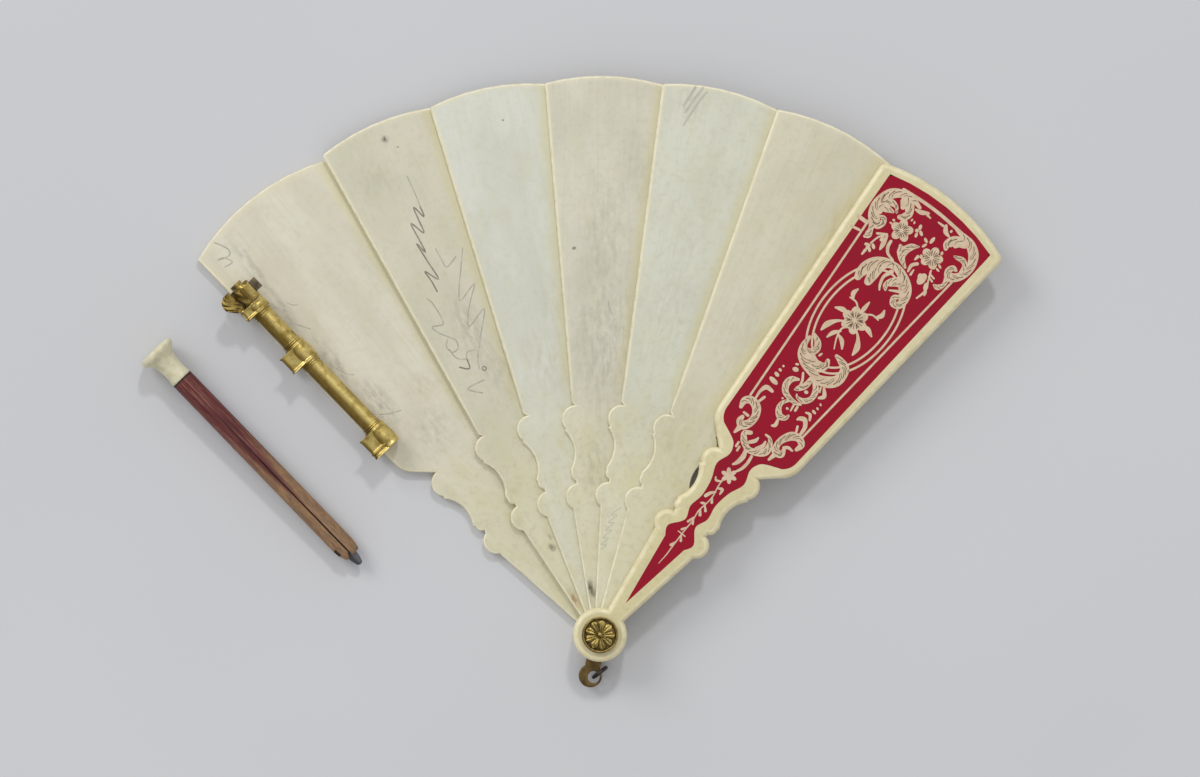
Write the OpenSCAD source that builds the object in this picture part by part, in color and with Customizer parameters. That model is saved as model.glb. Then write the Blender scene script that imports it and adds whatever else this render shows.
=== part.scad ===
// Fan-shaped dance card: seven bone leaves on one rivet, with a gilt pencil holder and a loose pencil.
// Millimetres. The rivet stands on the origin along +Z, and the leaves fan out towards +Y.

/* [Leaf blades] */
// Distance from the rivet to the middle of a leaf's curved end
leaf_reach = 83.6; // [70:0.1:100]
// Rise of the curved end above its two corners
crown_rise = 2.1; // [1:0.1:4]
// Width of a guard across its two outer corners
tip_w = 23.2; // [18:0.1:30]
// Angle of a straight side to the leaf's middle line
side_taper = 5; // [3:0.1:7]
// Radius of the rounded shoulder under a straight side
shoulder_r = 3.75; // [2:0.05:5]
// Width trimmed from the holder side of each inner leaf
leaf_trim = 3.1; // [2.5:0.05:4]
// Extra width of the rear guard's corner away from the holder
rear_extra_w = 1.6; // [0:0.1:2.5]

/* [Leaf necks] */
// Radius of the eye round the rivet
eye_r = 4.05; // [3.2:0.05:6]
// Width of the neck where it leaves the eye
shank_w = 1.9; // [1:0.1:4]
// Distance from the rivet to the round knobs
knob_y = 19.4; // [16:0.1:21]
// Radius of a round knob
knob_r = 2; // [1.6:0.05:2.4]
// Distance between the middles of the two knobs
knob_gap = 5.5; // [4:0.1:7]
// Distance from the rivet to the waist
waist_y = 25.9; // [25:0.1:27]
// Width of the neck at the waist
waist_w = 6.6; // [5:0.1:8]
// Radius of the hollow at the waist
waist_r = 4.8; // [4:0.1:6]
// Distance from the rivet to the two upper lobes
lobe_y = 31; // [30:0.1:32.5]
// Radius of an upper lobe
lobe_r = 2.1; // [1.7:0.05:2.5]
// Distance from the rivet to the cusp under the shoulder
cusp_y = 32.9; // [32:0.1:34]
// Extra neck length of every leaf under the front guard
back_neck_extra = 1.3; // [0:0.1:2]
// Lean of the neck of every leaf under the front guard
back_neck_lean = 1.3; // [0:0.1:2]
// Turn by which the rear guard's neck is fuller on the side under the leaves
rear_neck_turn = 3.2; // [0:0.1:4]

/* [Thicknesses] */
// Thickness of the rear guard
rear_t = 1.4; // [1:0.05:2]
// Thickness of one inner leaf
leaf_t = 0.55; // [0.45:0.01:0.8]
// Thickness of the front guard
front_t = 1.5; // [1:0.05:2.2]
// Running gap between two leaves
leaf_gap = 0.05; // [0.03:0.01:0.1]
// Thickness of the red lacquer
lacquer_t = 0.12; // [0.08:0.01:0.2]
// Width of bone left bare along the straight sides
lacquer_margin = 2; // [1.5:0.05:3]

/* [Fan as it lies open] */
// Angle of each guard to the middle of the fan
guard_angle = 39; // [35:0.5:45]
// Angle of the middle inner leaf
middle_angle = 0.2; // [-1:0.1:1]
// Angle between two neighbouring inner leaves
leaf_step = 12.2; // [11:0.1:13]

/* [Rivet and bail] */
// Radius of the rivet's shank
pin_r = 0.9; // [0.7:0.05:1.2]
// Radius of the flat head let into the rear guard
pin_head_r = 2; // [1.6:0.05:2.5]
// Depth of that head
pin_head_t = 0.5; // [0.3:0.05:0.7]
// Running clearance round a turning shank
turn_clear = 0.04; // [0.02:0.01:0.08]
// Radius of the gilt cup under the rosette
cup_r = 2.7; // [2.4:0.05:3.5]
// Height of the cup's rim
cup_h = 0.75; // [0.6:0.05:1]
// Number of petals
petal_count = 9; // [7:1:12]
// Thickness of the bail's plate
bail_t = 0.38; // [0.3:0.01:0.5]
// Distance from the rivet to the bail's eye
bail_reach = 6.4; // [6.2:0.05:7.5]
// Lean of the bail to the left of straight down
bail_lean = 13; // [0:1:25]
// Radius of the bail's eye
bail_eye_r = 1.75; // [1.65:0.01:1.9]
// Radius of the hole in the bail's eye
bail_hole_r = 0.9; // [0.8:0.01:0.95]
// Radius of the jump ring at the middle of its wire
jump_r = 1.15; // [1.1:0.01:1.3]
// Radius of the jump ring's wire
jump_wire_r = 0.3; // [0.25:0.01:0.35]

/* [Pencil holder] */
// Distance of the rod from the rear guard's edge
rod_inset = 1.55; // [1.5:0.01:1.65]
// Radius of the rod
rod_r = 1.4; // [1.25:0.01:1.42]
// Distance of the rod's upper end from the guard's outer corner
rod_start = 10.4; // [9.5:0.1:12]
// Length of the rod below its journal
rod_len = 29.8; // [29:0.1:31]
// Wall of a clip
clip_wall = 0.22; // [0.18:0.01:0.24]
// Clearance of a clip on the rod and on the pencil
clip_fit = 0.03; // [0.02:0.01:0.05]
// Length of the upper clip's collar
upper_clip_len = 1.6; // [1.3:0.1:2]
// Length of the middle clip
middle_clip_len = 3; // [2.4:0.1:4]
// Distance from the guard's outer corner to the middle clip
middle_clip_at = 19.4; // [17:0.1:24]
// Length of the lower clip
lower_clip_len = 3.6; // [3:0.1:4.5]
// Radius of a bead round the rod
bead_r = 0.15; // [0.1:0.01:0.18]
// Height of the rims at the two ends of a clip's jaw
clip_rim = 0.25; // [0.1:0.01:0.4]
// Length of one of these rims
clip_rim_len = 0.5; // [0.3:0.05:0.7]
// Angle of a clip's jaw to either side of the rod
jaw_angle = 80; // [60:1:88]
// Radius of a clip's rivet
clip_rivet_r = 0.24; // [0.18:0.01:0.28]

/* [Clasp] */
// Length of the clasp's barrel
barrel_len = 3.1; // [2.6:0.1:3.6]
// Radius of the journal that the barrel turns on
journal_r = 0.6; // [0.45:0.01:0.75]
// Length of the tongue along the guard's edge
tongue_len = 1.8; // [1.2:0.1:2.4]
// Distance of the tongue's tip from the rear guard's edge
tongue_reach = 4.4; // [3.6:0.1:5]
// Thickness of the tongue
tongue_t = 0.45; // [0.35:0.05:0.6]
// Clearance between the tongue and the front guard under it
tongue_clear = 0.15; // [0.1:0.01:0.3]
// Outer radius of the bend in the tongue
tongue_bend_r = 1; // [0.8:0.05:1.2]

/* [Pencil] */
// Radius of the wooden case
case_r = 1.72; // [1.5:0.01:1.9]
// Length of the wooden case
case_len = 36.7; // [30:0.1:42]
// Radius of the lead
lead_r = 0.88; // [0.6:0.01:1]
// Length of lead that stands out of the case
lead_out = 1.9; // [1:0.1:3]
// Open seam between the two halves of the case
seam_w = 0.08; // [0.05:0.01:0.15]
// Radius of the bone finial's head
finial_head_r = 2.92; // [2.4:0.01:3.4]
// Thickness of that head
finial_head_t = 1.4; // [1:0.1:2]
// Length of the finial outside the case
finial_len = 6; // [5:0.1:8]
// Radius of the finial's neck
finial_neck_r = 1.58; // [1.3:0.01:1.65]
// Length of the tenon inside the case
tenon_len = 3; // [2:0.1:4]
// Distance of the pencil's middle line from the guard's edge
pencil_away = 14; // [12:0.1:20]
// Distance of the pencil's head below the guard's outer corner
pencil_start = 5.1; // [0:0.1:10]

/* [Hidden] */
$fn = 64;

bone = [0.87, 0.84, 0.72];
bone_yellow = [0.86, 0.81, 0.64];
crimson = [0.65, 0.08, 0.16];
gilt = [0.78, 0.62, 0.25];
aged_brass = [0.45, 0.36, 0.18];
dark_iron = [0.2, 0.17, 0.16];
wood_brown = [0.32, 0.16, 0.11];
graphite = [0.33, 0.33, 0.35];

// Degrees between two points on an arc of an outline
arc_step = 6;
// How far a cutting tool runs past the face that it cuts
past = 1;
inner_count = 5;

// Levels of the stack, from the table up
bail_z = rear_t + leaf_gap / 2;
stack_z = bail_z + bail_t + leaf_gap;
front_z = stack_z + inner_count * (leaf_t + leaf_gap);
front_top = front_z + front_t;
cup_z = front_top + leaf_gap;
cup_floor = 0.25;
cup_rim_w = 0.4;

// Blade corners and the point where a straight side meets its shoulder
corner = [tip_w / 2, leaf_reach - crown_rise];
crown_r = (pow(corner.x, 2) + pow(crown_rise, 2)) / (2 * crown_rise);
shoulder_y = cusp_y + shoulder_r * 1.4;
shoulder_x = corner.x - (corner.y - shoulder_y) * tan(side_taper) - shoulder_r / cos(side_taper);
shoulder_low = -54;

// Neck curves
// How much higher the fuller side of the rear guard's neck sits, so that it reaches past the cusp
fuller_rise = 1;
knob_x = knob_gap / 2;
swell_r = 0.95;
swell_in = 0.4;
swell_up = 0.35;
lobe_in = 0.3;
swell = [waist_w / 2 - swell_in, knob_y + knob_r + swell_r + swell_up];
waist_x = waist_w / 2 + waist_r;
lobe_x = waist_w / 2 - lobe_in;

// Length of a blade's straight side, which carries the holder
side_len = (corner.y - shoulder_y) / cos(side_taper);

// Holder profile, with x inwards from the guard's edge and y up
clip_r = rod_r + clip_fit + clip_wall;
rod_z = rear_t + clip_r;
jaw_in = case_r + clip_fit;
jaw_wall = clip_wall + 0.08;
jaw_out = jaw_in + jaw_wall;
jaw_web = 0.12;
jaw_x = rod_inset - rod_r - case_r - jaw_web;
foot_w = 2 * clip_r - 0.5;
// Distance of a bead's middle from the end of the clip that it is part of
bead_set = bead_r * 0.6;
rod_run = min(rod_len, side_len - rod_start);
rod_end = rod_start + rod_run;
lower_clip_at = rod_end - lower_clip_len;
barrel_gap = 0.12;
barrel_at = rod_start - barrel_gap - barrel_len;
cap_len = 0.5;
cap_r = 0.95;
cap_at = barrel_at - barrel_gap - cap_len;
tongue_at = barrel_at + (barrel_len - tongue_len) / 2;
tongue_z = front_top + tongue_clear;
riser_x = rod_inset - tongue_t / 2;
rivet_spread = foot_w / 2 - clip_rivet_r - 0.2;
rivet_top = rear_t + 0.45;

// Pencil, measured along its own middle line from the head
pencil_case_end = finial_len + case_len;
pencil_lie = atan((finial_head_r - case_r) / (pencil_case_end - finial_head_t));
lead_start = finial_len + tenon_len + 0.5;
tenon_r = lead_r - 0.02;

// Points along an arc, angles counted from +X towards +Y
function arc(c, r, a0, a1) =
    let (n = max(2, ceil(abs(a1 - a0) / arc_step)))
    [for (i = [0:n]) c + r * [cos(a0 + (a1 - a0) * i / n), sin(a0 + (a1 - a0) * i / n)]];

// The same outline seen in a mirror, in reverse order, to close a symmetric shape
function mirrored(points) = [for (i = [len(points) - 1:-1:0]) [-points[i].x, points[i].y]];

// Smooth curve through points, with a few short steps between two of them
function between(a, b, c, d, t) = (2 * b + (c - a) * t + (2 * a - 5 * b + 4 * c - d) * t * t
    + (3 * b - a - 3 * c + d) * t * t * t) / 2;
function curve(p, steps = 5) = concat(
    [for (i = [0:len(p) - 2]) for (k = [0:steps - 1])
        between(p[max(i - 1, 0)], p[i], p[i + 1], p[min(i + 2, len(p) - 1)], k / steps)],
    [p[len(p) - 1]]
);

// Right half of a blade: cusp, shoulder, straight side and half of the curved end
function blade_half(extra, wider = 0) = concat(
    [[0, cusp_y + extra - 2], [lobe_x + 0.8, cusp_y + extra]],
    arc([shoulder_x + extra * tan(side_taper), shoulder_y + extra], shoulder_r, shoulder_low, -side_taper),
    arc([0, leaf_reach - crown_r], crown_r, 90 - asin((corner.x + wider) / crown_r), 90)
);

// Right half of a neck: shank, knob, swell, waist and upper lobe
function neck_half(extra) = concat(
    [[shank_w / 2, 0]],
    arc([knob_x, knob_y + extra], knob_r, -62, 80),
    arc(swell + [0, extra], swell_r, -75, 18),
    arc([waist_x, waist_y + extra], waist_r, 210, 135),
    arc([lobe_x, lobe_y + extra], lobe_r, -42, 90),
    [[0, cusp_y + extra + 1]]
);

module outline(right, left) {
    polygon(concat(right, mirrored(left)));
}

// Plan of a whole leaf, with the strip that makes room for the holder taken off its left side
module leaf_plan(extra = 0, lean = 0, trim = 0, wider = 0, fuller = 0) {
    circle(eye_r);
    rotate(lean) outline(neck_half(extra), neck_half(extra));
    if (fuller > 0)
        rotate(lean - fuller) outline(neck_half(extra + fuller_rise), neck_half(extra + fuller_rise));
    difference() {
        outline(blade_half(extra, wider), blade_half(extra));
        if (trim > 0)
            translate([-corner.x, corner.y]) rotate(side_taper)
                translate([-tip_w, -leaf_reach]) square([tip_w + trim, 2 * leaf_reach]);
    }
}

module rivet_hole(r, z0, z1) {
    translate([0, 0, z0 - past]) cylinder(h = z1 - z0 + 2 * past, r = r);
}

// Stands a piece in the frame of the rear guard's outer edge: x inwards, -y towards the rivet
module at_edge() {
    rotate(guard_angle) translate([-corner.x, corner.y, 0]) rotate(side_taper) children();
}

// Extrudes a profile drawn in x and z along the edge, from u for a length
module along_edge(u, length) {
    at_edge() translate([0, -u, 0]) rotate([90, 0, 0]) linear_extrude(length) children();
}

// Turns a profile of radius and length round the rod, from u towards the rivet
module round_rod(u) {
    at_edge() translate([rod_inset, -u, rod_z]) rotate([90, 0, 0]) children();
}

// Places of the clip rivets: two in each foot
function clip_middles() = [
    rod_start + upper_clip_len / 2,
    middle_clip_at + middle_clip_len / 2,
    lower_clip_at + lower_clip_len / 2
];

module each_clip_rivet(r, z0, z1) {
    for (u = clip_middles())
        for (side = [-1, 1])
            at_edge() translate([rod_inset + side * rivet_spread, -u, z0])
                cylinder(h = z1 - z0, r = r, $fn = 24);
}

module rear_guard() {
    color(bone_yellow) difference() {
        rotate(guard_angle) linear_extrude(rear_t)
            leaf_plan(back_neck_extra, back_neck_lean, wider = rear_extra_w, fuller = rear_neck_turn);
        rivet_hole(pin_r + turn_clear, 0, rear_t);
        translate([0, 0, -past]) cylinder(h = pin_head_t + past, r = pin_head_r + turn_clear);
        each_clip_rivet(clip_rivet_r + turn_clear / 2, -past, rear_t + past);
    }
}

module inner_leaf(i) {
    z = stack_z + (i - 1) * (leaf_t + leaf_gap);
    angle = middle_angle + (i - 3) * leaf_step;
    color(bone) difference() {
        translate([0, 0, z]) rotate(-angle) linear_extrude(leaf_t)
            leaf_plan(back_neck_extra, back_neck_lean, leaf_trim);
        rivet_hole(pin_r + turn_clear, z, z + leaf_t);
    }
}

// Red field: the guard's own outline drawn in by the margin, ending in a point towards the rivet
module lacquer_plan() {
    field_x = corner.x - lacquer_margin;
    field_y = corner.y - lacquer_margin * 0.7;
    low_r = shoulder_r - lacquer_margin * 0.5;
    low = [shoulder_x - 0.1, shoulder_y + 0.4];
    neck_x = waist_w / 2 - lacquer_margin;
    neck = [
        [knob_x - 0.95, knob_y - 1.7], [knob_x - 0.3, knob_y - 0.2], [neck_x - 0.3, knob_y + 2],
        [neck_x + 0.35, waist_y - 2.4], [neck_x, waist_y - 0.1], [neck_x + 0.4, lobe_y - 2.5],
        [lobe_x - 0.4, lobe_y - 0.1], [lobe_x - 1, cusp_y + 0.1], [lobe_x - 0.8, cusp_y + 1.3],
        [lobe_x, cusp_y + 2.3], low + low_r * [cos(shoulder_low), sin(shoulder_low)]
    ];
    half = concat(
        [[0, eye_r + lacquer_margin]],
        curve(neck),
        arc(low, low_r, shoulder_low + arc_step, -side_taper),
        [[field_x, field_y]],
        arc([0, leaf_reach - crown_r - lacquer_margin * 0.7], crown_r, 90 - asin(field_x / crown_r), 90)
    );
    outline(half, half);
}

module front_guard() {
    color(bone_yellow) difference() {
        translate([0, 0, front_z]) rotate(-guard_angle) linear_extrude(front_t) leaf_plan();
        rivet_hole(pin_r + turn_clear, front_z, front_top);
        translate([0, 0, front_top - lacquer_t]) rotate(-guard_angle)
            linear_extrude(lacquer_t + past) lacquer_plan();
    }
}

module lacquer_field() {
    color(crimson) translate([0, 0, front_top - lacquer_t]) rotate(-guard_angle)
        linear_extrude(lacquer_t) lacquer_plan();
}

// Rivet with a flat head in the rear guard and a small dome in the rosette's middle
module pivot_pin() {
    dome_z = cup_z + cup_h;
    color(aged_brass) {
        cylinder(h = pin_head_t, r = pin_head_r);
        cylinder(h = dome_z, r = pin_r);
        intersection() {
            translate([0, 0, dome_z]) sphere(pin_r * 0.8);
            translate([-pin_r, -pin_r, dome_z - pin_r / 2]) cube([2 * pin_r, 2 * pin_r, pin_r * 2]);
        }
    }
}

module rosette_cup() {
    color(gilt) translate([0, 0, cup_z]) rotate_extrude() {
        difference() {
            translate([pin_r + turn_clear / 2, 0])
                square([cup_r - pin_r - turn_clear / 2, cup_h - cup_rim_w / 2]);
            translate([0, cup_floor]) square([cup_r - cup_rim_w, cup_h]);
        }
        translate([cup_r - cup_rim_w / 2, cup_h - cup_rim_w / 2]) circle(cup_rim_w / 2);
    }
}

// Flower of rounded petals seated in the cup, with a raised collar round the rivet
module pivot_rosette() {
    floor_z = cup_z + cup_floor;
    petal_tip = cup_r - cup_rim_w - turn_clear;
    petal_r = min(0.42, petal_tip * sin(180 / petal_count) * 0.8);
    reach = petal_tip - petal_r;
    color(gilt) difference() {
        union() {
            translate([0, 0, floor_z]) cylinder(h = 0.2, r = petal_tip - 0.1);
            translate([0, 0, floor_z]) cylinder(h = cup_h - cup_floor, r = pin_r + 0.22);
            intersection() {
                for (i = [0:petal_count - 1])
                    rotate(i * 360 / petal_count) translate([0, 0, floor_z + 0.15]) {
                        rotate([0, 90, 0]) cylinder(h = reach, r = petal_r, $fn = 24);
                        translate([reach, 0, 0]) sphere(petal_r, $fn = 24);
                    }
                translate([0, 0, floor_z]) cylinder(h = cup_h, r = cup_r);
            }
        }
        rivet_hole(pin_r + turn_clear / 2, floor_z, floor_z + cup_h);
    }
}

// Lug under the leaves that carries the jump ring; its hole sits off-centre, nearer its right edge
bail_dir = [-sin(bail_lean), -cos(bail_lean)];
bail_eye = bail_reach * bail_dir;
bail_hole = bail_eye + [0.5, -0.2];
bail_washer_r = eye_r - 0.7;
bail_neck_w = 2.3;

module hanging_bail() {
    color(aged_brass) translate([0, 0, bail_z]) linear_extrude(bail_t) difference() {
        union() {
            circle(bail_washer_r);
            translate(bail_eye) circle(bail_eye_r);
            rotate(-bail_lean) translate([-bail_neck_w / 2, -bail_reach]) square([bail_neck_w, bail_reach]);
        }
        circle(pin_r + turn_clear);
        translate(bail_hole) circle(bail_hole_r);
    }
}

// Ring that stands upright through the bail's hole and round its thin right-hand rim
jump_turn = 37.7;
jump_dir = [cos(jump_turn), sin(jump_turn)];
jump_middle = bail_hole + jump_r * jump_dir;

module jump_ring() {
    color(dark_iron) translate([jump_middle.x, jump_middle.y, bail_z + bail_t / 2])
        rotate([90, 0, jump_turn]) rotate_extrude() translate([jump_r, 0]) circle(jump_wire_r, $fn = 32);
}

module holder_rod() {
    color(gilt) {
        round_rod(rod_start) cylinder(h = rod_run, r = rod_r);
        round_rod(cap_at) cylinder(h = rod_start - cap_at, r = journal_r);
    }
}

// Section of a clip: collar round the rod, open jaw for the pencil, and a flat foot on the guard
module clip_section(rim = 0) {
    difference() {
        union() {
            translate([rod_inset, rod_z]) circle(clip_r);
            translate([rod_inset - foot_w / 2, rear_t]) square([foot_w, clip_r]);
            jaw_section(rim);
        }
        translate([rod_inset, rod_z]) circle(rod_r + clip_fit);
        translate([jaw_x, rod_z]) circle(jaw_in);
    }
}

// Jaw with its lips; the rim at an end of a clip stands out and reaches further round the pencil
module jaw_section(rim = 0) {
    reach = jaw_out + rim;
    difference() {
        translate([jaw_x, rod_z]) circle(reach);
        translate([jaw_x, rod_z]) circle(jaw_in);
        translate([jaw_x + jaw_out * cos(jaw_angle) - rim - 2 * reach, rod_z - 2 * reach])
            square([2 * reach, 4 * reach]);
    }
}

// Ring round the rod, flat where it sits on the guard
module bead(u) {
    span = 2 * (clip_r + bead_r);
    difference() {
        round_rod(u) rotate_extrude() translate([rod_r + clip_fit + bead_r, 0]) circle(bead_r, $fn = 24);
        at_edge() translate([rod_inset - span / 2, -u - bead_r - past, rear_t - span])
            cube([span, 2 * (bead_r + past), span]);
    }
}

module clip(u, length) {
    difference() {
        union() {
            along_edge(u, length) clip_section();
            for (at = [u, u + length - clip_rim_len])
                along_edge(at, clip_rim_len) clip_section(clip_rim);
        }
        each_clip_rivet(clip_rivet_r + turn_clear / 2, rear_t - past, rivet_top + turn_clear);
    }
}

module upper_clip() {
    color(gilt) {
        clip(rod_start, upper_clip_len);
        bead(rod_start + upper_clip_len + bead_set);
        difference() {
            along_edge(barrel_at, rod_start - barrel_at) jaw_section();
            along_edge(barrel_at - past, rod_start - barrel_at + past)
                translate([rod_inset, rod_z]) circle(clip_r + 2 * barrel_gap);
        }
    }
}

module middle_clip() {
    color(gilt) {
        clip(middle_clip_at, middle_clip_len);
        bead(middle_clip_at - bead_set);
        bead(middle_clip_at + middle_clip_len + bead_set);
    }
}

module lower_clip() {
    color(gilt) {
        clip(lower_clip_at, lower_clip_len);
        bead(lower_clip_at - bead_set);
    }
}

module clip_rivets() {
    color(gilt) each_clip_rivet(clip_rivet_r, 0, rivet_top);
}

module journal_cap() {
    color(gilt) difference() {
        round_rod(cap_at) cylinder(h = cap_len, r = cap_r);
        round_rod(cap_at - past) cylinder(h = cap_len + 2 * past, r = journal_r + clip_fit);
    }
}

// Barrel that turns on the rod's journal, with a bent tongue that hooks over the front guard
module clasp_latch() {
    bend = [riser_x + tongue_bend_r, tongue_z + tongue_t - tongue_bend_r];
    color(gilt) difference() {
        union() {
            along_edge(barrel_at, barrel_len) translate([rod_inset, rod_z]) circle(clip_r);
            along_edge(tongue_at, tongue_len) {
                translate([riser_x, rod_z]) square([tongue_t, bend.y - rod_z]);
                translate([bend.x, tongue_z]) square([tongue_reach - bend.x, tongue_t]);
                intersection() {
                    difference() {
                        translate(bend) circle(tongue_bend_r);
                        translate(bend) circle(tongue_bend_r - tongue_t);
                    }
                    translate([bend.x - tongue_bend_r, bend.y]) square(tongue_bend_r);
                }
            }
        }
        round_rod(barrel_at - past) cylinder(h = barrel_len + 2 * past, r = journal_r + turn_clear);
    }
}

// Lays the pencil on the table beside the holder, on the rim of its head and the end of its case
module lay_pencil() {
    at_edge() translate([-pencil_away, -pencil_start - finial_head_t, 0]) rotate([pencil_lie, 0, 0])
        translate([0, finial_head_t, finial_head_r]) rotate([90, 0, 0]) children();
}

// Half of the wooden case, split along its length and grooved for the tenon and the lead
module case_half(side) {
    color(wood_brown) lay_pencil() difference() {
        translate([0, 0, finial_len]) cylinder(h = case_len, r = case_r);
        translate([-side * 2 * case_r + side * seam_w / 2 - 2 * case_r, -2 * case_r, 0])
            cube([4 * case_r, 4 * case_r, 2 * pencil_case_end]);
        translate([0, 0, finial_len - past]) cylinder(h = case_len + 2 * past, r = lead_r);
    }
}

module pencil_case_left() {
    case_half(-1);
}

module pencil_case_right() {
    case_half(1);
}

module pencil_lead() {
    worn = 0.5;
    color(graphite) lay_pencil() translate([0, 0, lead_start]) rotate_extrude() polygon([
        [0, 0],
        [lead_r - turn_clear / 2, 0],
        [lead_r - turn_clear / 2, pencil_case_end - lead_start + lead_out - worn],
        [lead_r * 0.55, pencil_case_end - lead_start + lead_out],
        [0, pencil_case_end - lead_start + lead_out]
    ]);
}

// Turned bone finial: domed head, drawn-in neck, collar on the case and a tenon inside it
module pencil_finial() {
    neck_y = finial_head_t + (finial_len - finial_head_t) * 0.55;
    head_edge = finial_head_t / 2;
    flare_r = finial_head_r - finial_neck_r;
    half = concat(
        [[0, 0], [finial_head_r - head_edge, 0]],
        arc([finial_head_r - head_edge, head_edge], head_edge, -84, 60),
        [[finial_neck_r + flare_r * 0.35, finial_head_t + flare_r * 0.35], [finial_neck_r, neck_y]],
        [[finial_neck_r + 0.1, finial_len - 0.9], [case_r, finial_len - 0.5], [case_r, finial_len]],
        [[tenon_r, finial_len], [tenon_r, finial_len + tenon_len], [0, finial_len + tenon_len]]
    );
    color(bone) lay_pencil() rotate_extrude() polygon(half);
}

rear_guard();
inner_leaf(1);  // inner_leaf_1
inner_leaf(2);  // inner_leaf_2
inner_leaf(3);  // inner_leaf_3
inner_leaf(4);  // inner_leaf_4
inner_leaf(5);  // inner_leaf_5
front_guard();
lacquer_field();
pivot_pin();
rosette_cup();
pivot_rosette();
hanging_bail();
jump_ring();
holder_rod();
upper_clip();
middle_clip();
lower_clip();
clip_rivets();
journal_cap();
clasp_latch();
pencil_case_left();
pencil_case_right();
pencil_lead();
pencil_finial();
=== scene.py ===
import bmesh
import bpy
import math
from mathutils import Matrix, Vector


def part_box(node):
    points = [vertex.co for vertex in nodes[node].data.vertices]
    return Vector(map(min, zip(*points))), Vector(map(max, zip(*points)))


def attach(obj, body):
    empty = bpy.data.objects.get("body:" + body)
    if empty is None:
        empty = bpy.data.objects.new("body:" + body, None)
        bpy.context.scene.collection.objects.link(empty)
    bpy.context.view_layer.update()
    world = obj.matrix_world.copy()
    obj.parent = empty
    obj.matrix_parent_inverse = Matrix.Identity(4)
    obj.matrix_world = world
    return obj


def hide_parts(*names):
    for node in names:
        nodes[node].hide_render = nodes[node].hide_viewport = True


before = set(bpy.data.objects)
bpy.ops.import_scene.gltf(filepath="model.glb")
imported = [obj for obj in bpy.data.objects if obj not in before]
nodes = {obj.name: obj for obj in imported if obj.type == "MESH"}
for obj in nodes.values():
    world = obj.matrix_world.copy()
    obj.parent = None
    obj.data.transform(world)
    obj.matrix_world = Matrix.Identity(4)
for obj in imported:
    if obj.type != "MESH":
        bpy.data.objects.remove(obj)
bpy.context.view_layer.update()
print("frame loaded:", len(nodes), "nodes")

mm = 0.001
grid = 0.15  # millimetres in one step of the drawing grid used for ornament and pencil marks
fan = {"rear": -39.0, "leaf_1": -24.2, "leaf_2": -12.0, "leaf_3": 0.2, "leaf_4": 12.4, "leaf_5": 24.6,
       "front": 39.0}  # degrees to the right of straight up
blade = {"taper": 5, "halfAtRivet": 4.47, "crownMiddle": 50.5, "crownReach": 33.1, "begins": (34.0, 40.0),
         "edgeHighlightFade": (0.5, 0.28)}
bumpDepth = 0.0001


def shade(r, g, b):
    parts = []
    for c in (r, g, b):
        c = c / 255
        parts.append(c / 12.92 if c <= 0.04045 else ((c + 0.055) / 1.055) ** 2.4)
    return (*parts, 1.0)


def put(tree, kind, inputs=None, **props):
    n = tree.nodes.new(kind)
    for key, value in props.items():
        setattr(n, key, value)
    for key, value in (inputs or {}).items():
        if isinstance(value, bpy.types.NodeSocket):
            tree.links.new(value, n.inputs[key])
        else:
            n.inputs[key].default_value = value
    return n


def calc(tree, op, a, b=0.0):
    return put(tree, "ShaderNodeMath", {0: a, 1: b}, operation=op).outputs[0]


def times(tree, a, b):
    return calc(tree, "MULTIPLY", a, b)


def move(tree, op, a, b):
    return put(tree, "ShaderNodeVectorMath", {0: a, 1: b}, operation=op).outputs[0]


def fade(tree, value, low, high):
    return put(tree, "ShaderNodeMapRange", {"Value": value, "From Min": low, "From Max": high},
               interpolation_type="SMOOTHSTEP").outputs["Result"]


def tint(tree, amount, a, b):
    return put(tree, "ShaderNodeMix", {0: amount, 6: a, 7: b}, data_type="RGBA").outputs[2]


def overlay(tree, colour, mask, share, hue):
    return tint(tree, times(tree, mask, share), colour, hue)


def noise(tree, vector, scale, detail=3.0, rough=0.5):
    return put(tree, "ShaderNodeTexNoise",
               {"Vector": vector, "Scale": scale, "Detail": detail, "Roughness": rough}).outputs[0]


def stretched(tree, place, by, detail, rough, apart=None):
    place = move(tree, "MULTIPLY", place, by)
    if apart is not None:
        place = move(tree, "ADD", place, apart)
    return noise(tree, place, 1.0, detail, rough)


def newGroup(name, vectors, values, outs):
    tree = bpy.data.node_groups.new(name, "ShaderNodeTree")
    for labels, way, kind in ((vectors, "INPUT", "NodeSocketVector"), (values, "INPUT", "NodeSocketFloat"),
                              (outs, "OUTPUT", "NodeSocketFloat")):
        for label in labels:
            tree.interface.new_socket(label, in_out=way, socket_type=kind)
    return tree, tree.nodes.new("NodeGroupInput").outputs, tree.nodes.new("NodeGroupOutput").inputs


def useGroup(tree, group, inputs):
    return put(tree, "ShaderNodeGroup", inputs, node_tree=group).outputs


def newMaterial(name):
    mat = bpy.data.materials.new(name)
    mat.use_nodes = True
    tree = mat.node_tree
    tree.nodes.clear()
    bsdf = put(tree, "ShaderNodeBsdfPrincipled")
    put(tree, "ShaderNodeOutputMaterial", {"Surface": bsdf.outputs[0]})
    return mat, tree, bsdf.inputs


def dress(tree, skin, colour, rough, relief, span=(0.0, 1.0), specular=0.5):
    # rough is (value, lowest, highest roughness), relief is (height, strength)
    tree.links.new(colour, skin["Base Color"])
    ramp = put(tree, "ShaderNodeMapRange", {"Value": rough[0], "From Min": span[0], "From Max": span[1],
                                            "To Min": rough[1], "To Max": rough[2]})
    tree.links.new(ramp.outputs[0], skin["Roughness"])
    bump = put(tree, "ShaderNodeBump", {"Height": relief[0], "Strength": relief[1], "Distance": bumpDepth})
    tree.links.new(bump.outputs[0], skin["Normal"])
    skin["Specular IOR Level"].default_value = specular


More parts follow.
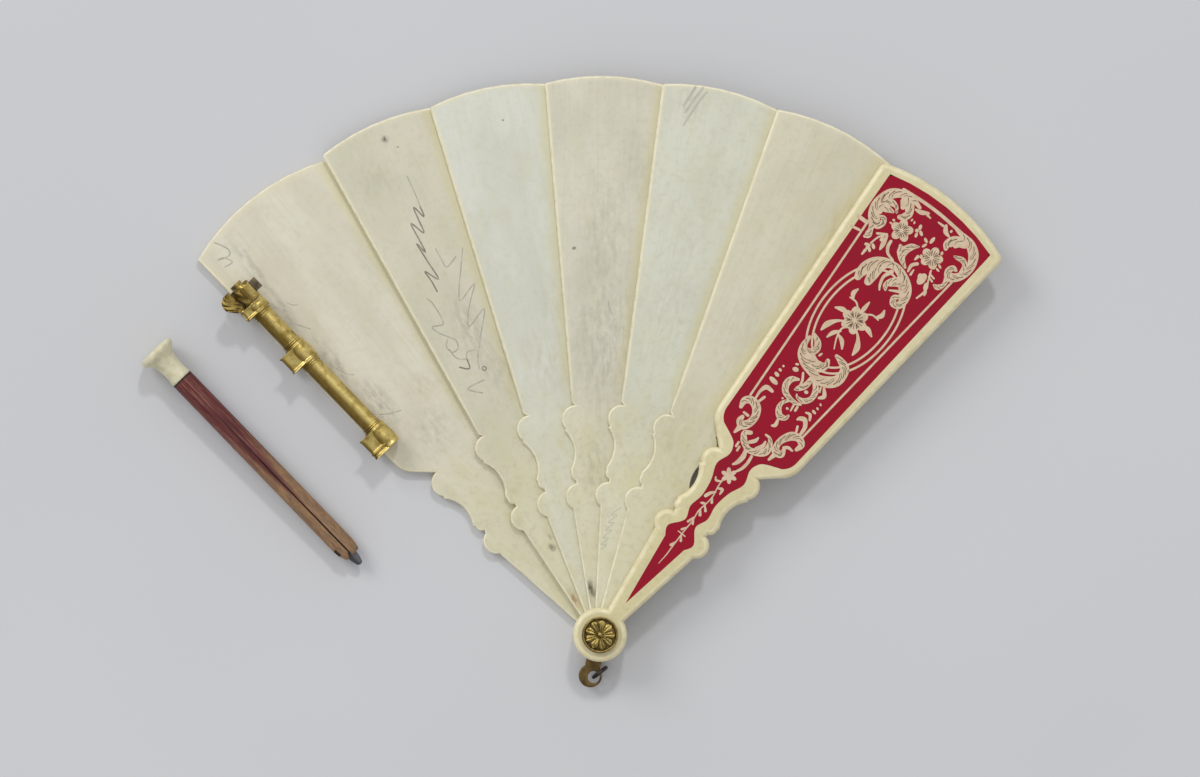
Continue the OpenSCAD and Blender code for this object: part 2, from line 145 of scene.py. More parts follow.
def objectMillimetres(tree):
    coords = put(tree, "ShaderNodeTexCoord").outputs["Object"]
    return move(tree, "MULTIPLY", coords, (1000, 1000, 1000))


# shared effects; leaf coordinates are across and along a leaf, in hundreds of millimetres,
# and a stretched noise is given as its stretch, detail and roughness

def seedVector(tree, seed, axes):
    return put(tree, "ShaderNodeCombineXYZ", {axis: seed for axis in range(axes)}).outputs[0]


def leafMillimetres(tree, leaf):
    return move(tree, "MULTIPLY", leaf, (100, 100, 0))


def leafSides(tree, leaf):
    flat = put(tree, "ShaderNodeSeparateXYZ", {0: leafMillimetres(tree, leaf)}).outputs
    return flat[0], flat[1]


def halfWidth(tree, along):
    slope = math.tan(math.radians(blade["taper"]))
    return calc(tree, "ADD", times(tree, along, slope), blade["halfAtRivet"])


grainNoise = {"Streak": ((240, 9, 1), 4.0, 0.6), "Cloud": ((16, 7, 1), 3.0, 0.55)}
speckCells = {"spread": (40, 40, 0), "ragged": (9.0, 2.0), "soft": 0.03}
rubbing = {"streaks": ((130, 45, 0), 5.0, 0.65), "streakFade": (0.32, 0.72), "reach": (1.0, 0.1)}
# noise and fades of the painted shade strip beside the edge of the leaf above
besideEdge = {"noise": (40.0, 3.0), "ragged": 1.2, "under": (-1.6, 0.5), "beside": (1.6, 0.2)}
tarnish = {"blotch": (4.0, 0.6), "blotchFade": (0.42, 0.68), "finer": 6.0, "fine": (3.0, 0.7)}


def makeGrainGroup():
    # lengthwise streaks and broad clouds of bone
    tree, ins, out = newGroup("boneGrain", ["Leaf"], ["Seed"], ["Streak", "Cloud"])
    apart = seedVector(tree, ins["Seed"], 3)
    for label, row in grainNoise.items():
        tree.links.new(stretched(tree, ins["Leaf"], *row, apart), out[label])
    return tree


def makeSpeckGroup():
    # few small round stains, scattered over a leaf
    tree, ins, out = newGroup("boneSpecks", ["Leaf"], ["Seed", "Share", "Size"], ["Mask"])
    spread = move(tree, "MULTIPLY", ins["Leaf"], speckCells["spread"])
    spread = move(tree, "ADD", spread, seedVector(tree, ins["Seed"], 2))
    cells = put(tree, "ShaderNodeTexVoronoi", {"Vector": spread, "Scale": 1.0}).outputs
    pick = put(tree, "ShaderNodeSeparateColor", {0: cells["Color"]}).outputs[0]
    chosen = calc(tree, "LESS_THAN", pick, ins["Share"])
    ragged = times(tree, noise(tree, spread, *speckCells["ragged"]), ins["Size"])
    spot = fade(tree, calc(tree, "SUBTRACT", cells["Distance"], ragged), speckCells["soft"], 0.0)
    tree.links.new(times(tree, spot, chosen), out["Mask"])
    return tree


def makeRubGroup():
    # a soft patch of rubbed graphite or dirt round a centre given in millimetres on the leaf
    tree, ins, out = newGroup("rubbedPatch", ["Leaf", "Centre", "Half"], ["Seed"], ["Mask"])
    away = move(tree, "SUBTRACT", leafMillimetres(tree, ins["Leaf"]), ins["Centre"])
    away = move(tree, "DIVIDE", away, ins["Half"])
    far = put(tree, "ShaderNodeVectorMath", {0: away}, operation="LENGTH").outputs["Value"]
    streaks = stretched(tree, ins["Leaf"], *rubbing["streaks"], seedVector(tree, ins["Seed"], 2))
    soft = fade(tree, far, *rubbing["reach"])
    tree.links.new(times(tree, soft, fade(tree, streaks, *rubbing["streakFade"])), out["Mask"])
    return tree


def makeEdgeGroup():
    # nearness to the straight sides and the curved end of a blade, and to the left side alone, which carries
    # a painted highlight
    tree, ins, out = newGroup("bladeEdge", ["Leaf"], ["Width", "Trim"], ["Mask", "Left"])
    t, r = leafSides(tree, ins["Leaf"])
    halfWide = halfWidth(tree, r)
    right = calc(tree, "SUBTRACT", halfWide, t)
    left = calc(tree, "SUBTRACT", calc(tree, "ADD", halfWide, t), ins["Trim"])
    drop = calc(tree, "SUBTRACT", r, blade["crownMiddle"])
    turn = calc(tree, "SQRT", calc(tree, "ADD", times(tree, t, t), times(tree, drop, drop)))
    crown = calc(tree, "SUBTRACT", blade["crownReach"], turn)
    onBlade = fade(tree, r, *blade["begins"])
    nearest = calc(tree, "MINIMUM", calc(tree, "MINIMUM", left, right), crown)
    tree.links.new(times(tree, fade(tree, nearest, ins["Width"], 0.0), onBlade), out["Mask"])
    tree.links.new(times(tree, fade(tree, left, *blade["edgeHighlightFade"]), onBlade), out["Left"])
    return tree


def makeShadeStripGroup():
    # painted shade: strip of this leaf that runs beside the left edge of the leaf above, which is turned by
    # Angle; its warm yellowish colour stands in for the shadow that edge casts
    tree, ins, out = newGroup("paintedShadeStrip", ["Leaf"], ["Angle", "Trim"], ["Mask"])
    t, r = leafSides(tree, ins["Leaf"])
    cos, sin = calc(tree, "COSINE", ins["Angle"]), calc(tree, "SINE", ins["Angle"])
    aside = calc(tree, "SUBTRACT", times(tree, t, cos), times(tree, r, sin))
    along = calc(tree, "ADD", times(tree, r, cos), times(tree, t, sin))
    left = calc(tree, "SUBTRACT", calc(tree, "ADD", halfWidth(tree, along), aside), ins["Trim"])
    wander = times(tree, noise(tree, ins["Leaf"], *besideEdge["noise"]), besideEdge["ragged"])
    strip = times(tree, fade(tree, calc(tree, "ADD", left, wander), *besideEdge["under"]),
                  fade(tree, left, *besideEdge["beside"]))
    tree.links.new(times(tree, strip, fade(tree, r, *blade["begins"])), out["Mask"])
    return tree


def makeTarnishGroup():
    # blotches and pinholes of worn gilding, in millimetres
    tree, ins, out = newGroup("wornGilding", ["Place"], ["Scale"], ["Blotch", "Fine"])
    blotch = noise(tree, ins["Place"], ins["Scale"], *tarnish["blotch"])
    fine = noise(tree, ins["Place"], times(tree, ins["Scale"], tarnish["finer"]), *tarnish["fine"])
    tree.links.new(fade(tree, blotch, *tarnish["blotchFade"]), out["Blotch"])
    tree.links.new(fine, out["Fine"])
    return tree


grainGroup = makeGrainGroup()
speckGroup = makeSpeckGroup()
rubGroup = makeRubGroup()
edgeGroup = makeEdgeGroup()
stripGroup = makeShadeStripGroup()
tarnishGroup = makeTarnishGroup()


# materials

def boneMaterial(name, look):
    mat, tree, skin = newMaterial(name)
    leaf = put(tree, "ShaderNodeUVMap", uv_map="leafMap").outputs[0]
    seed = look["seed"]
    pale, deep, streak = (shade(*tone) for tone in look["tones"])
    grain = useGroup(tree, grainGroup, {"Leaf": leaf, "Seed": seed})
    edge = useGroup(tree, edgeGroup, {"Leaf": leaf, "Width": look["edgeWidth"], "Trim": look["trim"]})
    specks = useGroup(tree, speckGroup, {"Leaf": leaf, "Seed": seed, "Share": look["specks"],
                                         "Size": look["speckSize"]})
    colour = tint(tree, fade(tree, grain["Cloud"], *look["cloudFade"]), pale, deep)
    colour = overlay(tree, colour, fade(tree, grain["Streak"], *look["streakFade"]), look["grain"], streak)
    along = put(tree, "ShaderNodeSeparateXYZ", {0: leaf}).outputs[1]
    neck = fade(tree, along, *look["neckFade"])
    colour = overlay(tree, colour, neck, look["neckShare"], look["neck"])
    aged = stretched(tree, leaf, *look["agedNoise"], (seed, -seed, 0))
    agedShare = calc(tree, "ADD", times(tree, neck, look["agedNeck"]), look["agedShare"])
    colour = overlay(tree, colour, fade(tree, aged, *look["agedFade"]), agedShare, look["aged"])
    fine = noise(tree, objectMillimetres(tree), *look["fineNoise"])
    fineShare = calc(tree, "ADD", times(tree, neck, look["fineNeck"]), look["mottle"])
    colour = overlay(tree, colour, fade(tree, fine, *look["fineFade"]), fineShare, look["dirt"])
    colour = overlay(tree, colour, edge["Mask"], look["edgeShare"], look["edge"])
    # painted highlight: a lighter colour along the left edge, where the rounded edge would catch the light
    colour = overlay(tree, colour, edge["Left"], look["edgeHighlightShare"], look["paintedEdgeHighlight"])
    # painted shade: a warm strip beside the edge of the leaf above, standing in for its shadow
    if look["above"]:
        strip = useGroup(tree, stripGroup, {"Leaf": leaf, "Angle": math.radians(look["above"]),
                                            "Trim": look["aboveTrim"]})
        colour = overlay(tree, colour, strip["Mask"], look["stripShare"], look["strip"])
    for k, (t, r, halfT, halfR, strength, hue) in enumerate(look["rubs"]):
        patch = useGroup(tree, rubGroup, {"Leaf": leaf, "Centre": (t, r, 0), "Half": (halfT, halfR, 1),
                                          "Seed": seed + look["rubSeedStep"] * k})
        colour = overlay(tree, colour, patch["Mask"], strength, hue)
    colour = overlay(tree, colour, specks["Mask"], look["speckShare"], look["speck"])
    relief = calc(tree, "ADD", grain["Streak"], times(tree, fine, look["fineRelief"]))
    dress(tree, skin, colour, (grain["Streak"], *look["rough"]), (relief, look["bump"]),
          specular=look["specular"])
    return mat


plain = {"mottle": (0.9, 4.0, 0.6), "fade": (0.4, 0.65), "smoother": 0.08, "rougher": 0.1, "grain": 6.0,
         "bump": 0.08}


def plainMaterial(name, pale, deep, rough):
    mat, tree, skin = newMaterial(name)
    spot = objectMillimetres(tree)
    mottle = noise(tree, spot, *plain["mottle"])
    colour = tint(tree, fade(tree, mottle, *plain["fade"]), shade(*pale), shade(*deep))
    dress(tree, skin, colour, (mottle, rough - plain["smoother"], rough + plain["rougher"]),
          (noise(tree, spot, plain["grain"]), plain["bump"]))
    return mat


lacquer = {"bright": shade(151, 4, 35), "dull": shade(145, 8, 36), "brown": shade(124, 8, 30),
           "cloudScale": 0.13, "cloudFade": (0.38, 0.66), "fineNoise": (3.2, 4.0, 0.7),
           "brownFade": (0.5, 0.75), "brownShare": 0.45, "rough": (0.34, 0.52), "bump": 0.12,
           "specular": 0.22}


def lacquerMaterial(name, look):
    mat, tree, skin = newMaterial(name)
    spot = objectMillimetres(tree)
    cloud = fade(tree, noise(tree, spot, look["cloudScale"]), *look["cloudFade"])
    fine = noise(tree, spot, *look["fineNoise"])
    colour = tint(tree, cloud, look["bright"], look["dull"])
    colour = overlay(tree, colour, fade(tree, fine, *look["brownFade"]), look["brownShare"], look["brown"])
    dress(tree, skin, colour, (fine, *look["rough"]), (fine, look["bump"]), specular=look["specular"])
    return mat


# painted shade: the outer flank of the metal, which faces this way, is darkened to stand in for the dim
# surroundings it would reflect
paintedFlankShade = {"towards": (-0.66, -0.64, 0.1), "fade": (-0.1, 0.45), "share": 0.85}
pitting = {"fade": (0.59, 0.71), "span": (0.3, 0.7)}


def metalMaterial(name, bright, dark, pit, flankShadeHue, scale, blotch, pits, rough, bump, metallic):
    mat, tree, skin = newMaterial(name)
    worn = useGroup(tree, tarnishGroup, {"Place": objectMillimetres(tree), "Scale": scale})
    colour = overlay(tree, shade(*bright), worn["Blotch"], blotch, shade(*dark))
    # painted shade: colour darkened where the surface faces the outer flank, for the dim reflection there
    normal = put(tree, "ShaderNodeNewGeometry").outputs["Normal"]
    aside = put(tree, "ShaderNodeVectorMath", {0: normal, 1: paintedFlankShade["towards"]}, operation="DOT_PRODUCT")
    flankShadeMask = fade(tree, aside.outputs["Value"], *paintedFlankShade["fade"])
    colour = overlay(tree, colour, flankShadeMask, paintedFlankShade["share"], shade(*flankShadeHue))
    colour = overlay(tree, colour, fade(tree, worn["Fine"], *pitting["fade"]), pits, shade(*pit))
    dress(tree, skin, colour, (worn["Fine"], *rough), (worn["Fine"], bump), pitting["span"])
    skin["Metallic"].default_value = metallic
    return mat


pencilPaint = {"streak": shade(54, 24, 24), "paint": shade(86, 27, 30), "paintRubbed": shade(112, 60, 50),
               "paintPale": shade(146, 96, 82), "woodGold": shade(162, 127, 84),
               "woodGrey": shade(112, 98, 74), "wood": shade(152, 118, 90), "woodDark": shade(112, 84, 56),
               "noises": (((22, 7, 1), 5.0, 0.65), ((60, 18, 1), 5.0, 0.65), ((9, 22, 1), 4.0, 0.6),
                          ((24, 4, 1), 5.0, 0.7), ((60, 40, 1), 5.0, 0.7)),
               "seamAt": 0.25, "seamHalf": 0.1, "streakHalf": 0.036, "wornAt": -0.41, "paintedAt": -0.18,
               "headRing": (0.129, 0.122), "streakReach": 0.3, "seamReach": 0.2, "woodFade": (0.35, 0.7),
               "goldFade": (0.46, 0.66), "greyFade": (0.46, 0.3), "stainShare": 0.7,
               "rubbedFade": (0.38, 0.68), "paleFade": (0.5, 0.64), "darkFade": (0.46, 0.34),
               "paintShare": 0.8, "dirtFade": (0.5, 0.7), "dirtOnPaint": 0.4, "dirtShare": 0.25,
               "wornFrom": (0.2, 0.34), "wornTo": (0.66, 0.5), "streakShare": 0.8,
               "rough": (0.62, 0.46), "bump": 0.25, "specular": 0.35}


def pencilMaterial(name, look):
    # v runs down the pencil from its head, u goes round it
    mat, tree, skin = newMaterial(name)
    around = put(tree, "ShaderNodeUVMap", uv_map="pencilMap").outputs[0]
    u, v = put(tree, "ShaderNodeSeparateXYZ", {0: around}).outputs[:2]
    streak, fibre, stain, thin, dirt = (stretched(tree, around, *row) for row in look["noises"])
    offSeam = calc(tree, "ABSOLUTE", calc(tree, "SUBTRACT", u, look["seamAt"]))
    seam = fade(tree, offSeam, look["seamHalf"], 0.0)
    reach = calc(tree, "ADD", times(tree, streak, look["streakReach"]), times(tree, seam, look["seamReach"]))
    painted = fade(tree, calc(tree, "SUBTRACT", reach, v), look["wornAt"], look["paintedAt"])
    wood = tint(tree, fade(tree, fibre, *look["woodFade"]), look["wood"], look["woodDark"])
    wood = overlay(tree, wood, fade(tree, stain, *look["goldFade"]), look["stainShare"], look["woodGold"])
    wood = overlay(tree, wood, fade(tree, stain, *look["greyFade"]), look["stainShare"], look["woodGrey"])
    paint = tint(tree, fade(tree, streak, *look["rubbedFade"]), look["paint"], look["paintRubbed"])
    paint = overlay(tree, paint, fade(tree, thin, *look["paleFade"]), look["paintShare"], look["paintPale"])
    paint = overlay(tree, paint, fade(tree, thin, *look["darkFade"]), look["paintShare"], look["streak"])
    colour = tint(tree, painted, wood, paint)
    dirtShare = calc(tree, "ADD", times(tree, painted, look["dirtOnPaint"]), look["dirtShare"])
    colour = overlay(tree, colour, fade(tree, dirt, *look["dirtFade"]), dirtShare, look["streak"])
    colour = tint(tree, fade(tree, v, *look["headRing"]), colour, look["streak"])
    worn = times(tree, fade(tree, v, *look["wornFrom"]), fade(tree, v, *look["wornTo"]))
    middle = times(tree, fade(tree, offSeam, look["streakHalf"], 0.0), worn)
    colour = overlay(tree, colour, middle, look["streakShare"], look["streak"])
    dress(tree, skin, colour, (painted, *look["rough"]), (fibre, look["bump"]), specular=look["specular"])
    return mat


greyRub = shade(150, 145, 130)
brownStain = shade(176, 152, 104)
darkStain = shade(66, 68, 46)
ochreStain = shade(158, 124, 66)
commonBone = {"edge": shade(226, 217, 184), "paintedEdgeHighlight": shade(234, 227, 200), "neck": shade(212, 207, 174),
              "aged": shade(203, 196, 151), "strip": shade(203, 194, 146), "above": 12.2, "aboveTrim": 3.11,
              "dirt": shade(188, 182, 156), "mottle": 0.4, "edgeWidth": 1.0, "trim": 3.11, "grain": 0.35,
              "specks": 0.04, "speckSize": 0.1, "speck": shade(120, 100, 70), "speckShare": 0.7,
              "cloudFade": (0.36, 0.66), "streakFade": (0.45, 0.75),
              "neckFade": (0.42, 0.24), "neckShare": 0.7,
              "agedNoise": ((34, 15, 0), 5.0, 0.62), "agedFade": (0.44, 0.68), "agedNeck": 0.4,
              "agedShare": 0.16, "fineNoise": (1.1, 6.0, 0.68), "fineFade": (0.46, 0.72), "fineNeck": 0.2,
              "fineRelief": 0.6, "edgeShare": 0.5, "edgeHighlightShare": 0.8, "stripShare": 0.5, "rubSeedStep": 3.3,
              "rough": (0.36, 0.54), "bump": 0.14, "specular": 0.45}
leafLooks = {  # tones are pale, deep and streak colour; a rub is across, along, half sizes, strength, colour
    "rear": {"seed": 1.7, "tones": ((218, 213, 194), (209, 203, 182), (200, 194, 174)),
             "edgeWidth": 1.5, "trim": 0.0, "mottle": 0.3, "above": 14.8,
             "rubs": [(-6.0, 75.5, 1.4, 8.0, 0.6, greyRub), (-6.6, 68.0, 1.7, 7.0, 0.7, greyRub),
                      (-5.4, 57.0, 1.7, 8.0, 0.75, greyRub), (-4.0, 48.0, 2.6, 6.0, 0.8, greyRub),
                      (3.0, 45.5, 4.0, 3.0, 0.4, brownStain), (-0.5, 39.5, 6.0, 6.0, 0.4, greyRub)]},
    "leaf_1": {"seed": 4.1, "tones": ((209, 204, 183), (201, 197, 174), (192, 188, 168)),
               "rubs": [(0.9, 50.0, 3.6, 8.5, 0.5, greyRub), (-3.0, 76.0, 5.0, 5.0, 0.25, greyRub),
                        (-1.45, 6.4, 1.3, 2.4, 1.0, ochreStain), (1.0, 80.8, 0.9, 0.8, 1.0, darkStain),
                        (-1.2, 14.8, 0.8, 1.0, 1.0, darkStain), (-0.8, 16.4, 0.5, 0.8, 0.9, darkStain),
                        (2.5, 43.0, 5.0, 7.0, 0.35, greyRub)]},
    "leaf_2": {"seed": 7.3, "tones": ((213, 214, 200), (206, 206, 191), (198, 199, 184)),
               "mottle": 0.25, "specks": 0.02, "neck": shade(213, 209, 182),
               "rubs": [(3.0, 50.0, 4.0, 9.0, 0.15, greyRub), (0.4, 41.5, 6.0, 8.0, 0.3, brownStain)]},
    "leaf_3": {"seed": 11.9, "tones": ((214, 210, 191), (204, 200, 181), (192, 188, 170)),
               "specks": 0.05,
               "rubs": [(0.5, 44.0, 9.0, 17.0, 0.42, greyRub), (5.0, 70.0, 4.0, 10.0, 0.22, greyRub),
                        (-1.5, 6.7, 1.9, 2.4, 1.0, darkStain), (-1.6, 4.4, 1.2, 1.4, 0.8, darkStain),
                        (0.5, 60.0, 6.0, 14.0, 0.35, greyRub), (-0.5, 25.0, 4.0, 6.0, 0.45, greyRub)]},
    "leaf_4": {"seed": 15.2, "tones": ((211, 211, 194), (204, 203, 185), (195, 194, 176)),
               "specks": 0.03,
               "rubs": [(-3.4, 80.5, 3.0, 4.0, 0.35, greyRub), (0.0, 52.0, 6.0, 14.0, 0.18, greyRub)]},
    "leaf_5": {"seed": 19.4, "tones": ((210, 205, 182), (203, 197, 172), (190, 183, 158)),
               "above": 14.4, "aboveTrim": 0.0,
               "rubs": [(7.0, 66.0, 3.0, 16.0, 0.4, brownStain), (0.0, 50.0, 6.0, 10.0, 0.18, greyRub),
                        (-2.8, 32.0, 4.0, 12.0, 0.28, brownStain)]},
    "front": {"seed": 23.8, "tones": ((221, 210, 171), (212, 201, 157), (199, 188, 146)),
              "edge": shade(223, 213, 176), "paintedEdgeHighlight": shade(234, 226, 196), "dirt": shade(192, 180, 140),
              "neck": shade(210, 200, 154), "above": 0.0, "trim": 0.0, "grain": 0.25, "specks": 0.03,
              "rubs": [(-5.0, 33.3, 1.2, 0.9, 0.8, darkStain), (-3.0, -2.6, 0.9, 0.7, 0.8, brownStain)]},
}
plainLooks = {  # pale and deep colour, roughness
    "paleEdge": ((229, 222, 194), (216, 207, 174), 0.38),
    "creamEdge": ((226, 215, 177), (215, 203, 160), 0.34),
    "scrollIvory": ((214, 191, 161), (203, 177, 147), 0.5),
    "finialBone": ((215, 209, 178), (200, 193, 158), 0.4),
    "engravedLine": ((92, 64, 46), (72, 52, 38), 0.6),
    "graphiteDark": ((128, 122, 110), (152, 145, 131), 0.5),
    "graphiteFaint": ((168, 163, 148), (188, 182, 165), 0.5),
    "graphiteScuff": ((184, 180, 162), (192, 189, 172), 0.5),
    # near-black: the painted shade in the pencil's seam, and the dark chip at its tip
    "seamDirt": ((30, 22, 18), (42, 30, 24), 0.7),
}
# bright, dark, pit and painted flank-shade colour; then scale, shares of blotch and pits, roughness, bump,
# metallic
metalLooks = {
    "wornGilt": ((220, 197, 124), (140, 116, 42), (84, 66, 22), (106, 82, 24),
                 0.6, 0.75, 0.55, (0.27, 0.46), 0.34, 0.95),
    "agedGilt": ((186, 160, 90), (112, 92, 44), (70, 56, 28), (84, 68, 30),
                 0.8, 0.8, 0.5, (0.3, 0.46), 0.12, 0.92),
    "rosetteGilt": ((192, 170, 100), (108, 88, 40), (70, 56, 26), (92, 74, 32),
                    1.6, 0.8, 0.6, (0.24, 0.42), 0.3, 0.95),
    "cupGilt": ((166, 140, 80), (104, 84, 46), (66, 52, 28), (84, 68, 34),
                1.4, 0.8, 0.5, (0.4, 0.56), 0.2, 0.9),
    "agedBrass": ((138, 113, 68), (92, 75, 44), (60, 46, 28), (80, 62, 34),
                  0.9, 0.9, 0.6, (0.38, 0.6), 0.2, 0.85),
    "darkBronze": ((132, 116, 96), (88, 76, 60), (50, 42, 34), (70, 60, 46),
                   1.2, 0.8, 0.6, (0.25, 0.45), 0.2, 0.9),
    "darkIron": ((88, 78, 76), (58, 50, 48), (36, 30, 28), (44, 38, 36),
                 1.4, 0.8, 0.7, (0.4, 0.6), 0.3, 0.8),
    "leadGrey": ((106, 106, 110), (80, 80, 84), (50, 50, 54), (60, 60, 64),
                 1.6, 0.8, 0.6, (0.4, 0.55), 0.5, 0.4),
}
finishes = {}
for body, look in leafLooks.items():
    finishes["bone." + body] = boneMaterial("bone." + body, {**commonBone, **look})
finishes.update({name: plainMaterial(name, *row) for name, row in plainLooks.items()})
finishes.update({name: metalMaterial(name, *row) for name, row in metalLooks.items()})
finishes["crimsonLacquer"] = lacquerMaterial("crimsonLacquer", lacquer)
finishes["wornPencilWood"] = pencilMaterial("wornPencilWood", pencilPaint)
print("materials made:", len(bpy.data.materials))


# meshes

def addObject(name, data):
    obj = bpy.data.objects.new(name, data)
    bpy.context.scene.collection.objects.link(obj)
    return obj


def toMesh(bm, name):
    for f in bm.faces:
        f.smooth = True
    mesh = bpy.data.meshes.new(name)
    bm.to_mesh(mesh)
    bm.free()
    return mesh


def asPiece(bm, name, body, looks, stands=(), sharp=40):
    mesh = toMesh(bm, name)
    mesh.set_sharp_from_angle(angle=math.radians(sharp))
    for look in looks if isinstance(looks, tuple) else (looks,):
        mesh.materials.append(finishes[look])
    obj = addObject(name, mesh)
    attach(obj, body)
    if stands:
        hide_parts(*stands)
    return obj


def recolour(node, look):
    nodes[node].data.materials.clear()
    nodes[node].data.materials.append(finishes[look])


def leafPoint(body, t, r, z):
    a = math.radians(fan[body])
    cos, sin = math.cos(a), math.sin(a)
    return Vector(((r * sin + t * cos) * mm, (r * cos - t * sin) * mm, z * mm))


# how a solid's copy is cleaned, and how its level rim is told from its walls
cadCopy = {"merge": 0.002, "flat": 0.8, "level": 0.001, "wall": 0.3, "top": 0.9}


def cadShape(node):
    bm = bmesh.new()
    source = nodes[node].data
    verts = [bm.verts.new(v.co) for v in source.vertices]
    for p in source.polygons:
        bm.faces.new([verts[i] for i in p.vertices])
    bmesh.ops.remove_doubles(bm, verts=bm.verts, dist=cadCopy["merge"] * mm)
    bmesh.ops.dissolve_limit(bm, angle_limit=math.radians(cadCopy["flat"]), verts=bm.verts, edges=bm.edges)
    return bm


def crispEdges(bm, angle):
    bm.normal_update()
    return [e for e in bm.edges if len(e.link_faces) == 2 and e.calc_face_angle() > angle]


def outerRim(bm, z):
    # longest run of edges between the flat face at height z and the walls
    bm.normal_update()
    rim = []
    for e in bm.edges:
        if any(abs(v.co.z - z) > cadCopy["level"] * mm for v in e.verts) or len(e.link_faces) != 2:
            continue
        up = sorted(abs(f.normal.z) for f in e.link_faces)
        if up[0] < cadCopy["wall"] and up[1] > cadCopy["top"]:
            rim.append(e)
    left, best = dict.fromkeys(rim), []
    while left:
        run, front = [], [left.popitem()[0]]
        while front:
            e = front.pop()
            run.append(e)
            for v in e.verts:
                for other in v.link_edges:
                    if other in left:
                        del left[other]
                        front.append(other)
        if sum(e.calc_length() for e in run) > sum(e.calc_length() for e in best):
            best = run
    return best


def roundEdges(bm, edges, width, segments, slotNumber=-1):
    bmesh.ops.bevel(bm, geom=edges, offset=width * mm, offset_type="OFFSET", segments=segments, profile=0.5,
                    affect="EDGES", clamp_overlap=False, loop_slide=True, material=slotNumber)


def settleFaces(bm):
    # rounding leaves the faces in an order that changes from run to run
    for i, face in enumerate(sorted(bm.faces, key=lambda f: f.calc_center_median()[:])):
        face.index = i
    bm.faces.sort()


leafRounding = {"top": 0.28, "segments": 3, "bottom": 0.1, "bottomSegments": 2, "finish": "paleEdge",
                "tip": 0.4, "tipFrom": 70.0, "tipAngle": 0.8, "tipHigh": 0.1, "tipSegments": 5}
rearRounding = {**leafRounding, "top": 0.26, "segments": 4, "bottom": 0.16, "tip": 0.0}
frontRounding = {**leafRounding, "top": 0.75, "segments": 6, "bottom": 0.25, "tip": 0.9,
                 "finish": "creamEdge"}


def leafPiece(node, body, name, rounding):
    # the solid leaf with its outer edges eased, mapped in its own length and width
    low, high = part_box(node)
    back = Matrix.Rotation(math.radians(fan[body]), 4, "Z")
    bm = cadShape(node)
    if rounding["tip"]:
        corners = [e for e in crispEdges(bm, rounding["tipAngle"])
                   if all((back @ v.co).y > rounding["tipFrom"] * mm for v in e.verts)
                   and abs(e.verts[0].co.z - e.verts[1].co.z) > rounding["tipHigh"] * mm]
        roundEdges(bm, corners, rounding["tip"], rounding["tipSegments"])
    roundEdges(bm, outerRim(bm, high.z), rounding["top"], rounding["segments"], 1)
    roundEdges(bm, outerRim(bm, low.z), rounding["bottom"], rounding["bottomSegments"], 1)
    settleFaces(bm)
    layer = bm.loops.layers.uv.new("leafMap")
    for f in bm.faces:
        for loop in f.loops:
            p = back @ loop.vert.co
            loop[layer].uv = (p.x * 10, p.y * 10)
    asPiece(bm, name, body, ("bone." + body, rounding["finish"]), (node,))


leafPiece("rear_guard", "rear", "rearGuard", rearRounding)
for i in range(1, 6):
    leafPiece("inner_leaf_%d" % i, "leaf_%d" % i, "innerLeaf%d" % i, leafRounding)
leafPiece("front_guard", "front", "frontGuard", frontRounding)
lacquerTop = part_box("lacquer_field")[1].z / mm
recolour("lacquer_field", "crimsonLacquer")
print("leaves and guards eased")


# ornament on the lacquer: every line is a row of (across, along, half width) on the drawing grid

band = {"rise": 0.0015, "thinnest": 0.05, "capAngles": (30, 60, 84), "bendShare": 0.9}


def smoothPath(points, steps=6):
    out = []
    last = len(points) - 1
    for i in range(last):
        a, b, c, d = points[max(i - 1, 0)], points[i], points[i + 1], points[min(i + 2, last)]
        for k in range(steps):
            s = k / steps
            out.append(tuple(0.5 * (2 * q + (r - p) * s + (2 * p - 5 * q + 4 * r - w) * s * s
                                    + (3 * q - p - 3 * r + w) * s ** 3) for p, q, r, w in zip(a, b, c, d)))
    out.append(tuple(points[last]))
    return out


def heading(path, i):
    a, b = path[max(i - 1, 0)], path[min(i + 1, len(path) - 1)]
    d = Vector((b[0] - a[0], b[1] - a[1]))
    return d.normalized() if d.length > 1e-9 else Vector((0, 1))


def unit(degrees):
    a = math.radians(degrees)
    return math.cos(a), math.sin(a)


def addBand(bm, body, path, low, high, capped=True):
    # band of changing width with rounded ends, closed all round
    # it rises slightly along its way, so a curl never meets itself
    rows = [(Vector((t, r)), heading(path, i), max(h, band["thinnest"])) for i, (t, r, h) in enumerate(path)]
    if capped:
        caps = []
        for (p, d, h), sign in ((rows[0], -1), (rows[-1], 1)):
            ends = [unit(a) for a in band["capAngles"]]
            caps.append([(p + d * sign * h * sin, d, h * cos) for cos, sin in ends])
        rows = caps[0][::-1] + rows + caps[1]
    corners = []
    for i, (p, d, h) in enumerate(rows):
        n = Vector((-d.y, d.x))
        bend = 0.0
        if 0 < i < len(rows) - 1:
            turn = d.angle_signed(rows[i + 1][1], 0.0)
            step = (rows[i + 1][0] - p).length
            bend = -turn / step if step > 1e-6 else 0.0
        inner = min(h, band["bendShare"] / abs(bend)) if abs(bend) > 1e-6 else h
        left = (p + n * (inner if bend > 0 else h)) * grid
        right = (p - n * (inner if bend < 0 else h)) * grid
        top = high + band["rise"] * i / len(rows)
        corners.append([bm.verts.new(leafPoint(body, q.x, q.y, z))
                        for z in (top, low) for q in (left, right)])
    for a, b in zip(corners, corners[1:]):
        bm.faces.new((a[1], b[1], b[0], a[0]))
        bm.faces.new((a[0], b[0], b[2], a[2]))
        bm.faces.new((b[1], a[1], a[3], b[3]))
        bm.faces.new((a[2], b[2], b[3], a[3]))
    first, final = corners[0], corners[-1]
    bm.faces.new((first[0], first[2], first[3], first[1]))
    bm.faces.new((final[1], final[3], final[2], final[0]))


